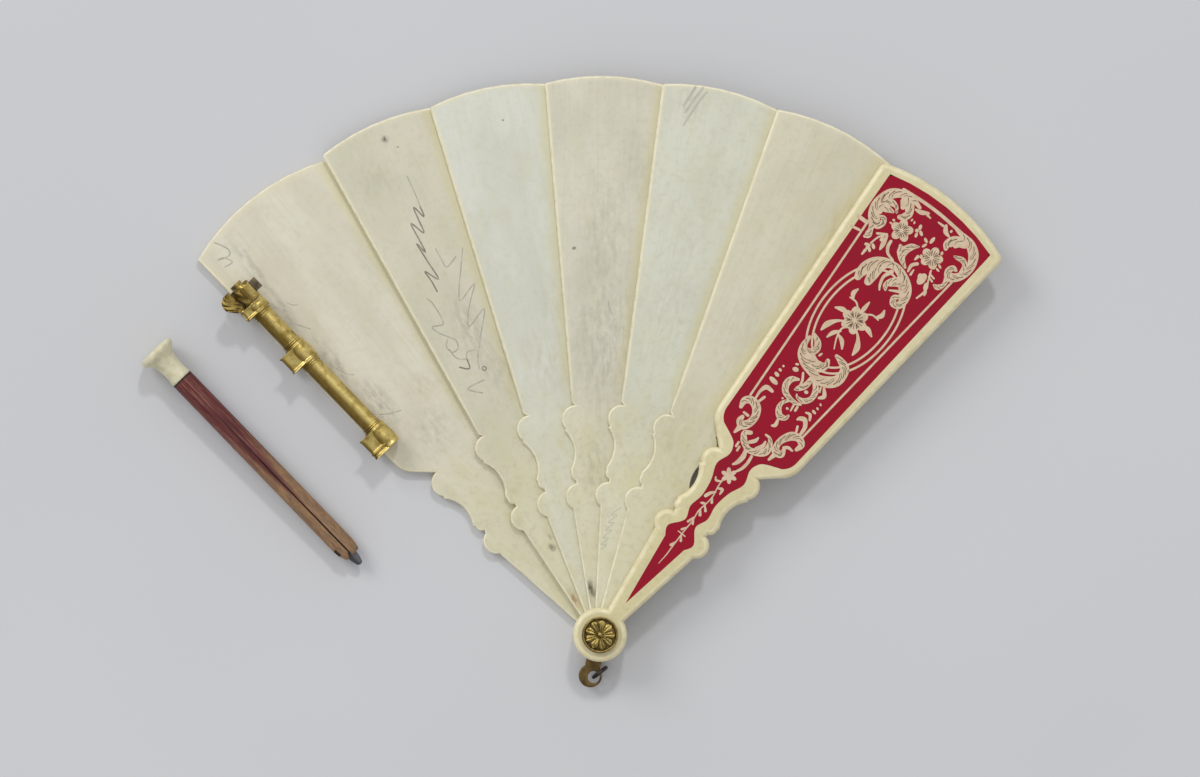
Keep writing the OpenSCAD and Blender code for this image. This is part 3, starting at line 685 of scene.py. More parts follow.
def addBlob(bm, body, t, r, a, b, tilt, low, high, steps=14):
    turn = Matrix.Rotation(math.radians(tilt), 2)
    ring = [turn @ Vector((a * math.cos(k * math.tau / steps), b * math.sin(k * math.tau / steps)))
            for k in range(steps)]
    top, under = [[bm.verts.new(leafPoint(body, (t + p.x) * grid, (r + p.y) * grid, z)) for p in ring]
                  for z in (high, low)]
    bm.faces.new(top)
    bm.faces.new(under[::-1])
    for k in range(steps):
        n = (k + 1) % steps
        bm.faces.new((top[n], top[k], under[k], under[n]))


ornament = {"sink": 0.02, "rise": 0.012, "levels": 9, "levelStep": 0.0022, "slim": 0.8,
            "lineRise": 0.036, "lineHalf": 0.38, "lineLevels": (0.0007, 11), "veinFrom": 3.2,
            "hatchStep": 3.9, "hatchSpan": (0.05, 0.88), "flute": (1.9, 1.25), "fluteThin": 0.55,
            "fluteLevels": (0.001, 6), "veinStep": 0.001, "gapRise": 0.008,
            "fluteBend": ((0.0, -0.42), (0.35, -0.22), (0.7, 0.16), (1.0, 0.62)),
            "flowerHeart": 0.5, "veinFlower": 5.0, "petalGap": (0.35, 0.7, 1.05), "veinThin": 0.8,
            "veins": ((0, (0.45, 0.8, 1.15)), (22, (0.7, 0.95, 1.2)), (-20, (0.62, 0.85, 1.1)))}

scrolls = [
    # upper left corner
    [(-20, 531, 2), (-31, 533, 4), (-42, 531, 5), (-51, 524, 6.5), (-55.5, 513, 6), (-55, 503, 6.5),
     (-50, 495, 7), (-43, 491.5, 6), (-39.5, 496, 4), (-41.5, 500.5, 3), (-46, 499, 2)],
    [(-48, 491, 5), (-45, 484, 3.2), (-43.5, 478, 4.6), (-45, 474.5, 2)],
    [(-49, 503, 3.5), (-51.5, 511, 4.5), (-46, 517, 4.6), (-39, 517, 2.6), (-35, 512.5, 1.2)],
    [(-50, 506, 3), (-45, 509.5, 4.6), (-38.5, 511, 2)],
    [(-40, 531, 4.5), (-31, 527, 6.5), (-25, 520, 5), (-26.5, 514, 4.8), (-30, 511, 3)],
    [(-36, 526, 5), (-33.5, 520.5, 2.8)],
    [(-22, 527, 1.4), (-16, 528.3, 3), (-10, 532, 1.8)],
    [(-9.5, 530, 1.6), (-5.5, 529.5, 1)],
    # upper right corner
    [(22, 537, 1.8), (32, 536, 4), (42, 534, 6), (51, 528, 6.5), (56, 518, 5.5), (56, 508, 5),
     (52, 500, 5.2), (46, 496, 6), (41.5, 500, 4.2), (43.5, 505, 3.6), (47, 505, 2)],
    [(53, 505, 3), (51, 514, 3), (46, 517, 3.6), (40, 515.5, 2.6), (37, 515, 1.1)],
    [(37, 531, 6), (28, 527, 6.5), (24, 520, 5), (25.5, 515.5, 2.6)],
    [(33, 528, 5), (31.5, 523, 2.2)],
    [(45, 494, 4), (46.5, 486, 2.5), (43.5, 480.5, 3.6), (39.5, 480, 1.8)],
    [(3.5, 531.3, 1), (9.5, 531.6, 1.7)],
    [(11.5, 533.5, 1.8), (15, 528.5, 3), (21, 526.8, 1)],
    # crest over the oval
    [(6, 475.5, 1.6), (-2, 480, 4), (-7, 486, 6), (-11.5, 489.5, 2)],
    [(-5, 483, 5), (-4.5, 490, 5), (-1.5, 496, 4), (3.5, 500, 1.2)],
    [(-8, 473.5, 1.2), (-16, 475.5, 1.8), (-20.5, 481, 2.2), (-21.5, 487, 1.8)],
    [(10.5, 474.5, 1.4), (9.5, 481, 2.2), (13, 486, 2)],
    [(14.5, 473.5, 1.6), (14, 479, 0.9)],
    [(1, 471, 3.4), (-10, 468, 6), (-19, 461, 8), (-24, 452, 8), (-25.5, 444, 6.2), (-25, 439, 4.6)],
    [(-12, 465, 5), (-14, 457, 6), (-14.5, 449, 6.5), (-14, 441.5, 5)],
    [(-13, 469, 3.6), (0, 470, 5), (12, 466, 6), (21, 459, 6.5), (25.5, 450, 5.5), (24.5, 442, 4.6),
     (19, 440, 4), (16.5, 445, 3.8), (19.5, 449, 2.2)],
    [(-2, 463.5, 3), (-5, 455, 2), (-3, 447, 1.7), (0, 442, 1)],
    [(9, 462, 4), (3, 456, 3), (2, 449.5, 3.4), (4.5, 446, 1.6)],
    [(20, 461, 3), (10, 457.5, 3.4), (5, 453, 2.6)],
    [(22, 455.5, 2), (15, 452.3, 1.8), (8, 448, 1)],
    # acanthus under the oval
    [(-22.5, 367, 2), (-15, 363, 4), (-11.5, 357, 4.4), (-14, 351.5, 4.4), (-19, 350, 3)],
    [(-24.5, 362, 2), (-24, 353, 4), (-20, 345, 6), (-12, 340, 7), (-3, 337, 6), (6, 335, 5)],
    [(-14, 347, 4), (-5, 344, 6), (2, 345, 7), (6, 350, 4.2), (4.5, 355, 2.6)],
    [(3, 334, 4), (14, 336, 7), (23, 343, 7), (25, 352, 6), (22, 360, 5.5), (14, 363, 4), (8.5, 364, 2.4)],
    # hanging S-scroll
    [(3, 331, 3), (3, 322, 4), (-1, 315, 3.4), (-3, 312, 1.2)],
    [(-7, 330, 1.4), (-3, 324, 1.6), (-1.5, 318, 1.2)],
    [(8, 330, 3), (14, 324, 4), (15.5, 315, 3.4), (11, 308.5, 3.6), (4, 307.5, 1.8), (1.5, 309.5, 0.9)],
    [(-6.5, 322, 1.8), (-12, 318, 3.8), (-13, 311, 4.4), (-9, 304.5, 4), (-1, 302, 3), (6, 302, 2.6),
     (11, 304, 1.4)],
    [(0, 300.5, 1.8), (-4.5, 294, 2.4), (-3.5, 287, 3.6), (2, 282, 4.2), (7.5, 284, 3), (8.5, 287.5, 1.6)],
    [(6, 299, 1.4), (7, 293, 1)],
    [(10, 300, 1.6), (10.5, 296, 1.6)],
    [(2.5, 279, 1.4), (4.2, 272.5, 2.4), (2, 269.8, 1.4)],
    [(19, 331, 1.6), (24, 325, 2.8), (21, 320.5, 1.6)],
    [(16, 329.5, 1.2), (18, 325.5, 1)],
    # sprigs at the sides
    [(-28, 281, 1.4), (-28.8, 289, 1.9), (-26.5, 296, 3), (-19.5, 296.5, 2)],
    [(-23.5, 280, 1.6), (-21.8, 287, 1.8)],
    [(29.5, 281, 2), (28.5, 289, 2.6), (24, 294.5, 3), (19.5, 293, 2.8), (17.8, 290.5, 1.4)],
    [(24.5, 280.5, 1.5), (22.3, 285, 1.5)],
    [(20, 301, 1.1), (24.5, 302, 2), (27.8, 297.5, 1.4)],
    # lower corners and the middle bridge
    [(-34, 265, 2.4), (-35, 272, 4.4), (-30, 276.5, 5), (-22, 274.5, 5.6), (-17, 267, 5), (-17, 258, 5),
     (-21, 252, 5.8), (-26, 253.5, 4.4), (-26.5, 258, 2.6)],
    [(-28, 262.5, 1.6), (-23, 262.5, 1.8)],
    [(-22, 249, 4), (-23, 241.5, 1.6)],
    [(36, 266.5, 2.4), (37, 273, 4), (31, 276.5, 4.6), (24, 274, 5.6), (19, 266, 4.6), (18, 258, 4),
     (21, 252, 5), (27, 253, 4.4), (26.5, 258, 2.6)],
    [(25, 260, 2), (28.5, 262.8, 2), (33.5, 262.8, 1.2)],
    [(22, 248, 3), (20.8, 241.5, 1.6)],
    [(-10, 251, 2.6), (-15, 247, 3), (-12.5, 243, 4), (-9, 239.5, 4.2), (-1, 236.5, 3.8), (8, 240, 4.6),
     (13.5, 246, 5), (12, 254, 3.4), (8, 258.5, 1.9), (3, 258.8, 1.3)],
    [(-5, 243, 2.2), (-1.5, 247.5, 2.4), (-1, 251.5, 1.2)],
    [(4, 242, 2), (7.5, 248, 2.4), (7, 253, 1.4)],
    [(-13.5, 236, 1.4), (-13, 231.5, 1.6)],
    [(-10, 233, 1.4), (-9.5, 228.8, 1.5)],
    # neck
    [(-3.5, 235, 2), (-1, 228, 3.2), (-1.8, 220, 2.6), (-4, 215.5, 1.4)],
    [(5.5, 233, 1.8), (6.5, 225, 2), (5.5, 217.5, 1.9), (2.5, 211, 1.2)],
    [(-2.5, 198, 0.7), (-1.5, 188, 0.8), (0.5, 178, 0.8), (0, 168, 0.8), (-1.5, 158, 0.8), (0, 146, 0.8),
     (0, 132, 0.8), (0.5, 116, 0.8), (1, 104, 0.7), (0.5, 92, 0.35)],
    [(-2, 195, 1), (-7, 192.5, 1.5), (-9.5, 195, 0.8)],
    [(-1, 187, 1), (3.5, 189, 2), (4.6, 184, 1)],
    [(0, 183, 1), (-3.5, 179, 2), (-5.5, 174, 2.2)],
    [(0.5, 177, 0.9), (3.5, 172.5, 1.7)],
    [(0, 168, 0.9), (-3, 166.5, 1.7), (-5, 165.5, 0.8)],
    [(0, 166, 0.9), (4, 162, 1.7)],
    [(-1, 160, 1), (2.2, 155.5, 2)],
    [(-1, 150, 0.9), (-3, 143, 1.6)],
    [(0, 148, 0.8), (2.2, 144, 1.4)],
    [(0, 138, 0.8), (-2.8, 133, 1.6)],
    [(-4.5, 129.5, 0.7), (4, 129.5, 0.8)],
    [(0.5, 128, 0.9), (3.5, 123.5, 1.6)],
    [(0.5, 120, 0.9), (-1.6, 114, 1.7)],
]
# worn places at the left border, frame lines, then stems of the sprays
lines = [
    [(-63, 486, 2), (-52, 486.5, 2)],
    [(-62, 474, 1.3), (-53, 476, 1.3)],
    [(-52, 491, 1.1), (-34, 280, 1.1)],
    [(51.3, 493, 1.1), (33, 280, 1.1)],
    [(-44, 535, 1.6), (-22, 537.6, 1.7), (0, 538.6, 1.7), (28, 537.4, 1.7)],
    [(-29, 490, 1), (-34, 482, 0.9), (-36, 473, 0.9)],
    [(-29, 490, 0.9), (-37, 484.5, 1.3)],
    [(-28, 489, 1.2), (-26, 480, 2.4), (-25, 474, 1)],
    [(-31, 487, 1), (-30, 482, 1.6)],
    [(-36, 464, 1.5), (-36, 459, 1)],
    [(28, 489, 1), (32, 480, 0.9), (36, 470, 1.2), (34, 459, 0.9)],
    [(29, 486, 0.9), (35, 485, 1)],
    [(30, 483, 0.9), (35.5, 481.5, 1)],
    [(9, 492, 1.6), (8.5, 488, 1)],
]
blobs = [  # across, along, half sizes, tilt
    (-32.5, 505, 1.6, 1.2, 0), (-33, 501, 1.5, 1.1, 0), (-18.5, 516.5, 1, 1.6, 0), (-15, 516, 1, 1.6, 20),
    (-7.5, 516, 1.7, 3, 20), (-3.2, 512, 3, 1.6, -30), (-5.8, 507.5, 1.5, 2.6, 15), (-8, 511.5, 2, 2, 0),
    (-38.5, 469.5, 2.4, 1.6, 30), (-33, 467, 2.6, 1.6, -40), (-32, 472, 3, 1.7, -35),
    (-36, 468.5, 1.8, 3.4, 0), (19, 532.3, 1.2, 1.6, 0), (10, 513.5, 1.8, 4, 0), (5, 509.5, 3, 1.5, -25),
    (7, 504.5, 1.4, 3, -20), (11.5, 494, 1.6, 2.2, 30), (26, 477, 4, 6.5, 0), (22.6, 478, 2, 3, 15),
    (34, 473.5, 2.4, 4.4, 25), (37.5, 468, 1.4, 3, 15), (32, 498, 2.6, 1.2, -20),
    (32.5, 494, 2.4, 1.1, -10), (25.5, 509.5, 1.4, 2, 20), (-5, 355, 1.2, 2.6, -15), (-17, 333, 2, 1.2, 30),
    (-15, 328, 3.2, 2.4, 20), (7.5, 317, 2.2, 1.8, 20), (3, 292.5, 1.5, 1.3, 0), (-26.5, 323, 1.2, 1.2, 0),
    (-26.6, 318, 1.9, 1.5, -15), (-26.5, 312.5, 2.9, 1.9, -10), (-25, 305.5, 5.4, 2.5, -6),
    (26.5, 316.3, 1.5, 1, -30), (26.6, 311.3, 1.6, 1.1, -20), (26, 306.5, 2.6, 1.5, -10),
    (-7, 297.5, 1.1, 1.1, 0),
]
flowers = [  # across, along, petal reach, petal half sizes, petals, turn
    (-20, 502, 6.2, 5.6, 4.4, 5, 40), (20.5, 499.5, 6.6, 5, 4.3, 5, 100), (0, 204, 4.6, 3.7, 2.2, 6, 10),
    (0, 403, 7.5, 6.6, 5, 6, 0),
]
twins = [  # generic sprig that fills the oval: strokes that come with a mirrored twin, then single ones
    [(-3, 412, 0.8), (-10, 418, 0.9), (-18, 418, 0.8)],
    [(-8, 396, 0.8), (-14, 391, 1.6), (-19, 383, 3), (-20, 375, 1)],
    [(-10, 404, 1), (-16, 404, 2.6), (-23, 401, 1)],
    [(-14, 418, 0.8), (-18, 423, 2.4), (-17, 429, 1)],
]
spray = [[(0, 396, 0.9), (-5, 388, 0.9), (-3, 378, 0.8), (2, 368, 0.6)]]
for stroke in twins:
    spray += [stroke, [(-t, r, h) for t, r, h in stroke]]
spray += [
    [(-4, 386, 0.8), (-9, 380, 2.2), (-11, 373, 0.9)],
    [(-4, 382, 0.8), (3, 379, 2.2), (8, 373, 0.9)],
    [(0, 412, 0.9), (0, 418, 2.2), (0, 426, 0.9)],
]
oval = {"centre": (0, 405), "rings": ((38.4, 63.0), (32.4, 57.0)), "half": 1.05, "steps": 72}


def engrave(bm, path, low, high):
    # curved flutes that run from the middle of a scroll to its inner side, long and short in turn
    turning = sum(heading(path, i).cross(heading(path, i + 1)) for i in range(len(path) - 1))
    side = 1 if turning > 0 else -1
    size = len(path)

    def at(i, offset):
        t, r, h = path[i]
        d = heading(path, i)
        return t - d.y * h * offset * side, r + d.x * h * offset * side

    gone, count = 0.0, 0
    begin, end = ornament["hatchSpan"]
    for i in range(int(size * begin), int(size * end)):
        gone += math.dist(path[i][:2], path[i + 1][:2])
        if gone < ornament["hatchStep"]:
            continue
        gone = 0.0
        count += 1
        reach = path[i][2] * ornament["flute"][count % 2]
        ahead, run = i, 0.0
        while run < reach and ahead < size - 1:
            run += math.dist(path[ahead][:2], path[ahead + 1][:2])
            ahead += 1
        if ahead - i < 2:
            continue
        flute = []
        for share, offset in ornament["fluteBend"]:
            half = ornament["lineHalf"] * (1 - ornament["fluteThin"] * share)
            flute.append((*at(i + round((ahead - i) * share), offset), half))
        step, levels = ornament["fluteLevels"]
        addBand(bm, "front", smoothPath(flute, 3), low, high + step * (count % levels))


def ornamentPieces():
    # tops differ by thousandths of a millimetre, so that no two faces lie in one plane
    ivory, dark = bmesh.new(), bmesh.new()
    low = lacquerTop - ornament["sink"]
    lineHigh = lacquerTop + ornament["lineRise"]
    half = ornament["lineHalf"]
    step, levels = ornament["lineLevels"]

    def level(k):
        return lacquerTop + ornament["rise"] + (k % ornament["levels"]) * ornament["levelStep"]

    def ray(t, r, reach, degrees, span, wide, high):
        dx, dy = unit(degrees)
        path = [(t + dx * reach * s, r + dy * reach * s, wide) for s in span]
        addBand(dark, "front", path, lacquerTop, high)

    count = 0
    for stroke in scrolls + lines + spray:
        slim = ornament["slim"] if stroke in scrolls else 1.0
        path = smoothPath([(t, r, h * slim) for t, r, h in stroke])
        addBand(ivory, "front", path, low, level(count))
        count += 1
        if len(stroke) > 2 and max(h for t, r, h in stroke) > ornament["veinFrom"]:
            engrave(dark, path, lacquerTop, lineHigh + step * (count % levels))
    for k, (t, r, a, b, tilt) in enumerate(blobs):
        addBlob(ivory, "front", t, r, a, b, tilt, low, level(k))
    for t, r, reach, a, b, petals, turn in flowers:
        heart = reach * ornament["flowerHeart"]
        addBlob(ivory, "front", t, r, heart, heart, 0, low, level(8))
        for k in range(petals):
            angle = turn + 360 * k / petals
            dx, dy = unit(angle)
            addBlob(ivory, "front", t + reach * dx, r + reach * dy, a, b, angle, low, level(k))
            if reach < ornament["veinFlower"]:
                continue
            rise = ornament["veinStep"] * k
            for side, span in ornament["veins"]:
                ray(t, r, reach, angle + side, span, half * ornament["veinThin"], lineHigh + rise)
            ray(t, r, reach, angle + 180 / petals, ornament["petalGap"], half,
                lineHigh + ornament["gapRise"] + rise)
    steps = oval["steps"]
    midT, midR = oval["centre"]
    for a, b in oval["rings"]:
        for part in range(4):  # four bands that meet, so that each is open at its ends
            ring = []
            for k in range(steps // 4 + 1):
                angle = math.tau * (part * steps // 4 + k) / steps
                ring.append((midT + a * math.cos(angle), midR + b * math.sin(angle), oval["half"]))
            addBand(ivory, "front", ring, low, level(part), capped=False)
    asPiece(ivory, "lacquerScrolls", "front", "scrollIvory", sharp=30)
    asPiece(dark, "lacquerEngraving", "front", "engravedLine", sharp=30)
    return count


print("ornament strokes:", ornamentPieces())


# pencil marks and scuffs left on the leaves: half width, then places on the drawing grid

markLevels = {"sink": 0.02, "rise": 0.003, "step": 0.001}
penMarks = {
    "rear": [
        ("Faint", 0.65, [(-53.2, 546.3), (-46.7, 533), (-50, 527), (-62, 530.5), (-56, 529), (-51.4, 520),
                         (-60, 520.8)]),
        ("Faint", 0.5, [(-42.1, 433), (-37, 425), (-33, 419)]),
        ("Faint", 0.5, [(-38, 372), (-33, 361), (-28, 356)]),
        ("Faint", 0.5, [(-33, 309), (-24, 303), (-14, 299)]),
        ("Faint", 0.35, [(-35, 455), (-32, 449), (-28, 446)]),
    ],
    "leaf_1": [
        ("Faint", 0.5, [(11.7, 496), (11.9, 475), (11.2, 463)]),
        ("Dark", 0.75, [(11.2, 463), (10.6, 452), (5, 465.3), (4.4, 451), (3.9, 437.3), (-4, 451.5),
                        (-3.3, 435), (-2.6, 419), (-7.1, 430.7), (-4.4, 410), (-1.7, 389.2), (-11, 402.2),
                        (-9, 391), (-8, 378.8)]),
        ("Faint", 0.6, [(8, 418.6), (8.9, 407.7), (10.7, 397), (23.1, 402.9)]),
        ("Faint", 0.6, [(33, 408), (23, 390), (12.8, 371.9), (9.8, 361), (29.2, 371.1), (19.5, 358),
                        (10.4, 344.7), (7.3, 333.7), (27.9, 344), (15, 323), (2.1, 302.3), (-1.1, 291.2)]),
        ("Faint", 0.65, [(-20.5, 376.4), (-17, 369.5), (-15.2, 347.3), (-27, 348.7), (-23.6, 340.5),
                         (-16.4, 332.8), (-11, 326.7), (-11.9, 319.2), (-18.2, 316.8), (-22.2, 323.9),
                         (-18.5, 331)]),
        ("Faint", 0.65, [(-21, 321), (-17.7, 310.3), (-9.5, 305.7), (-5.6, 311.2), (2, 310.4)]),
        ("Dark", 0.75, [(-8.5, 304.8), (-10.1, 295.3), (-18.5, 300.5)]),
        ("Dark", 0.6, [(1.2, 289.5), (3.4, 291.6), (5.4, 289.2), (3.2, 287.2), (1.4, 289)]),
        ("Faint", 0.65, [(-1.4, 279), (-20, 277.6), (-8.2, 267.8)]),
    ],
    "leaf_3": [
        ("Dark", 1.5, [(-27.8, 385), (-26.6, 385.4)]),
        ("Faint", 0.5, [(7, 332), (9, 324), (12, 318)]),
    ],
    "leaf_4": [
        ("Scuff", 1.3, [(-24.3, 553.4), (-28, 543), (-31.6, 533.2)]),
        ("Scuff", 1.1, [(-16.8, 554.3), (-23, 541), (-28.8, 526.8)]),
        ("Scuff", 1.0, [(-12, 551.3), (-18.3, 538.8), (-27.5, 514.6)]),
        ("Scuff", 0.4, [(-7, 128), (-15, 119), (-9, 120), (-16, 111), (-10, 112), (-17, 103), (-11, 104),
                        (-18, 95), (-12, 96), (-18.5, 88), (-13, 89), (-17, 83)]),
    ],
}


def markPieces():
    for body, marks in penMarks.items():
        node = "rear_guard" if body == "rear" else "inner_" + body
        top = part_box(node)[1].z / mm
        for kind in ("Dark", "Faint", "Scuff"):
            bm = bmesh.new()
            for k, (sort, half, points) in enumerate(marks):
                if sort == kind:
                    path = smoothPath([(t, r, half) for t, r in points], 4)
                    high = top + markLevels["rise"] + markLevels["step"] * k
                    addBand(bm, body, path, top - markLevels["sink"], high)
            if bm.faces:
                asPiece(bm, body + kind + "Marks", body, "graphite" + kind, sharp=30)
            else:
                bm.free()


markPieces()
print("pencil marks drawn")


# turned and repeated pieces

def faceOut(bm):
    bmesh.ops.recalc_face_normals(bm, faces=bm.faces)


def lathe(bm, profile, matrix, steps=48, start=0.0, sweep=360.0, closed=False):
    # profile rows are (radius, distance along the axis)
    rings = []
    full = sweep >= 360
    count = steps if full else steps + 1
    for k in range(count):
        cos, sin = unit(start + sweep * k / steps)
        rings.append([bm.verts.new(matrix @ Vector((r * cos * mm, r * sin * mm, z * mm)))
                      for r, z in profile])
    rows = len(profile) if closed else len(profile) - 1
    for k in range(steps):
        a, b = rings[k], rings[(k + 1) % count]
        for i in range(rows):
            j = (i + 1) % len(profile)
            bm.faces.new((a[i], b[i], b[j], a[j]))
    if closed and not full:
        bm.faces.new(rings[0])
        bm.faces.new(rings[-1][::-1])
    bmesh.ops.remove_doubles(bm, verts=bm.verts, dist=0.0005 * mm)
    faceOut(bm)


def turnedPiece(profile, matrix, name, body, look, stands=(), steps=48, closed=False, sharp=40):
    bm = bmesh.new()
    lathe(bm, profile, matrix, steps, closed=closed)
    asPiece(bm, name, body, look, stands, sharp)


def joinRings(bm, rings):
    # joins closed cross-sections in a row and closes both ends
    for a, b in zip(rings, rings[1:]):
        for i in range(len(a)):
            j = (i + 1) % len(a)
            bm.faces.new((a[i], b[i], b[j], a[j]))
    bm.faces.new(rings[0])
    bm.faces.new(rings[-1][::-1])
    faceOut(bm)


def joinSheets(bm, top, under):
    # joins an upper and a lower grid of points and closes all four sides
    rows, last = len(top) - 1, len(top[0]) - 1
    for i in range(rows):
        for k in range(last):
            bm.faces.new((top[i][k], top[i + 1][k], top[i + 1][k + 1], top[i][k + 1]))
            bm.faces.new((under[i][k + 1], under[i + 1][k + 1], under[i + 1][k], under[i][k]))
        for k in (0, last):
            bm.faces.new((top[i][k], under[i][k], under[i + 1][k], top[i + 1][k]))
    for i in (0, rows):
        for k in range(last):
            bm.faces.new((top[i][k + 1], under[i][k + 1], under[i][k], top[i][k]))
    faceOut(bm)


def blockPiece(matrix, look, name, body, material):
    bm = bmesh.new()
    bmesh.ops.create_cube(bm, size=1.0)
    bm.transform(matrix @ Matrix.Diagonal((*[s * mm for s in look["size"]], 1)))
    roundEdges(bm, bm.edges[:], look["round"], look["segments"])
    asPiece(bm, name, body, material)


def makeCopiesTree():
    # copies of a shape in a row, each turned a little further
    tree = bpy.data.node_groups.new("turnedCopies", "GeometryNodeTree")
    for label, kind in (("Geometry", "Geometry"), ("Count", "Int"), ("Step", "Vector"), ("Turn", "Float"),
                        ("Finish", "Material")):
        tree.interface.new_socket(label, in_out="INPUT", socket_type="NodeSocket" + kind)
    tree.interface.new_socket("Geometry", in_out="OUTPUT", socket_type="NodeSocketGeometry")
    ins = tree.nodes.new("NodeGroupInput").outputs
    row = put(tree, "GeometryNodeMeshLine", {"Count": ins["Count"], "Offset": ins["Step"]}, mode="OFFSET")
    number = tree.nodes.new("GeometryNodeInputIndex").outputs[0]
    turned = put(tree, "ShaderNodeCombineXYZ", {2: times(tree, number, ins["Turn"])}).outputs[0]
    copies = put(tree, "GeometryNodeInstanceOnPoints",
                 {"Points": row.outputs[0], "Instance": ins["Geometry"], "Rotation": turned})
    real = put(tree, "GeometryNodeRealizeInstances", {0: copies.outputs[0]})
    done = put(tree, "GeometryNodeSetMaterial", {"Geometry": real.outputs[0], "Material": ins["Finish"]})
    tree.links.new(done.outputs[0], tree.nodes.new("NodeGroupOutput").inputs[0])
    return tree


copiesTree = makeCopiesTree()


def copiesPiece(bm, name, body, look, matrix, count, step=(0, 0, 0), turn=0.0, stands=()):
    part = addObject(name + "Part", toMesh(bm, name + "Part"))
    mod = part.modifiers.new("copies", "NODES")
    mod.node_group = copiesTree
    values = {"Count": count, "Step": [s * mm for s in step], "Turn": math.radians(turn),
              "Finish": finishes[look]}
    for item in copiesTree.interface.items_tree:
        if item.in_out == "INPUT" and item.name in values:
            mod[item.identifier] = values[item.name]
    grown = part.evaluated_get(bpy.context.evaluated_depsgraph_get())
    result = bpy.data.meshes.new_from_object(grown)
    part.modifiers.clear()
    bpy.data.objects.remove(part)
    out = bmesh.new()
    out.from_mesh(result)
    out.transform(matrix)
    asPiece(out, name, body, look, stands)


def shifted(x, y, z):
    return Matrix.Translation(Vector((x, y, z)) * mm)


upright = Matrix.Identity(4)
edgeCorner = (-11.6, 81.5, 0)  # upper end of the rear guard's outer edge, on the guard
edgeMatrix = (Matrix.Rotation(math.radians(-fan["rear"]), 4, "Z") @ shifted(*edgeCorner)
              @ Matrix.Rotation(math.radians(blade["taper"]), 4, "Z"))


def alongEdge(inwards, along, up):
    # x runs inwards from the guard's edge, y up, z along the edge towards the rivet
    return edgeMatrix @ shifted(inwards, -along, up) @ Matrix.Rotation(math.pi / 2, 4, "X")


# rivet, rosette, bail and ring

rosette = {"petals": 9, "inner": 0.6, "outer": 2.25, "half": 0.68, "fill": 0.97, "tipFrom": 0.62,
           "narrowest": 0.02, "rise": 0.3, "swellFrom": 0.4, "swellMore": 0.6, "arch": 0.1, "groove": 0.13,
           "grooveWide": 0.28, "middleZ": 7.06, "rimZ": 6.9, "baseZ": 6.66, "rows": 12, "across": 8}
floorProfile = [(0.94, 6.66), (2.27, 6.66), (2.27, 6.74), (0.94, 6.9)]
pinProfile = [(0, 0), (1.9, 0), (2.0, 0.06), (2.0, 0.5), (0.9, 0.5), (0.9, 7.02), (0.72, 7.06), (0.56, 7.06),
              (0.52, 7.2), (0.44, 7.46), (0.22, 7.72), (0, 7.8)]
cupProfile = [(0.92, 6.41), (2.62, 6.41), (2.7, 6.5), (2.7, 6.92), (2.66, 7.08), (2.54, 7.16), (2.4, 7.12),
              (2.32, 6.98), (2.28, 6.66), (0.92, 6.66)]
bailRound = {"angle": 1.2, "width": 0.07}


def rosettePieces():
    bm = bmesh.new()
    rows, across = rosette["rows"], rosette["across"]
    top, under = [], []
    for i in range(rows + 1):
        s = i / rows
        x = rosette["inner"] + (rosette["outer"] - rosette["inner"]) * s
        wide = x * math.sin(math.pi / rosette["petals"]) * rosette["fill"]
        past = max(0.0, (s - rosette["tipFrom"]) / (1 - rosette["tipFrom"]))
        wide = max(rosette["narrowest"], min(wide, rosette["half"]) * math.sqrt(max(0.0, 1 - past ** 2)))
        z = rosette["middleZ"] + (rosette["rimZ"] - rosette["middleZ"]) * s
        z += rosette["arch"] * math.sin(math.pi * s)
        line, low = [], []
        for k in range(across + 1):
            y = -1 + 2 * k / across
            swell = rosette["rise"] * (1 - y * y) * (rosette["swellFrom"] + rosette["swellMore"] * s)
            swell -= rosette["groove"] * math.exp(-(y / rosette["grooveWide"]) ** 2)
            line.append(bm.verts.new(Vector((x, y * wide, z + swell)) * mm))
            low.append(bm.verts.new(Vector((x, y * wide, rosette["baseZ"])) * mm))
        top.append(line)
        under.append(low)
    joinSheets(bm, top, under)
    copiesPiece(bm, "rosettePetals", "rear", "rosetteGilt", upright, rosette["petals"],
                turn=360 / rosette["petals"], stands=("pivot_rosette",))
    turnedPiece(floorProfile, upright, "rosetteFloor", "rear", "agedBrass", closed=True)
    turnedPiece(pinProfile, upright, "rivetPin", "rear", "rosetteGilt", ("pivot_pin",))
    turnedPiece(cupProfile, upright, "rosetteCup", "rear", "cupGilt", ("rosette_cup",),
                steps=64, closed=True)


rosettePieces()
bail = cadShape("hanging_bail")
roundEdges(bail, crispEdges(bail, bailRound["angle"]), bailRound["width"], 2)
asPiece(bail, "hangingBail", "bail", "agedBrass", ("hanging_bail",))
recolour("jump_ring", "darkIron")
print("rivet, rosette and bail made")


# pencil holder

holder = {"inset": 1.55, "up": 3.05, "rod": 1.4, "collar": 1.65,
          "ringWire": 0.13, "ringOut": 0.03, "ringCount": 2,
          "rings": (("upper", 12.5, 0.42), ("middleTop", 18.62, 0.34), ("middleLow", 22.9, 0.36),
                    ("lower", 35.86, 0.34)),
          "clips": (("upper", 10.4, 1.6), ("middle", 19.4, 3.0), ("lower", 36.6, 3.6)),
          "crispAngle": 1.0, "clipRound": 0.06, "claspRound": 0.08, "shortest": 0.08}
barrel = {"rim": ((0.04, 0.0), (0.1, 0.09), (0.1, 0.2), (0.02, 0.32)), "swell": 0.09, "rows": 8,
          "inside": 0.1, "start": -56, "sweep": 196, "steps": 36}
headFlutes = {"radius": 1.68, "inner": 1.5, "swell": 0.02, "depth": 0.075, "length": 3.06, "start": -22.0,
              "sweep": 222.0, "flutes": 8, "twist": 560.0, "rows": 24, "steps": 90, "from": 7.2, "fadeIn": 6}
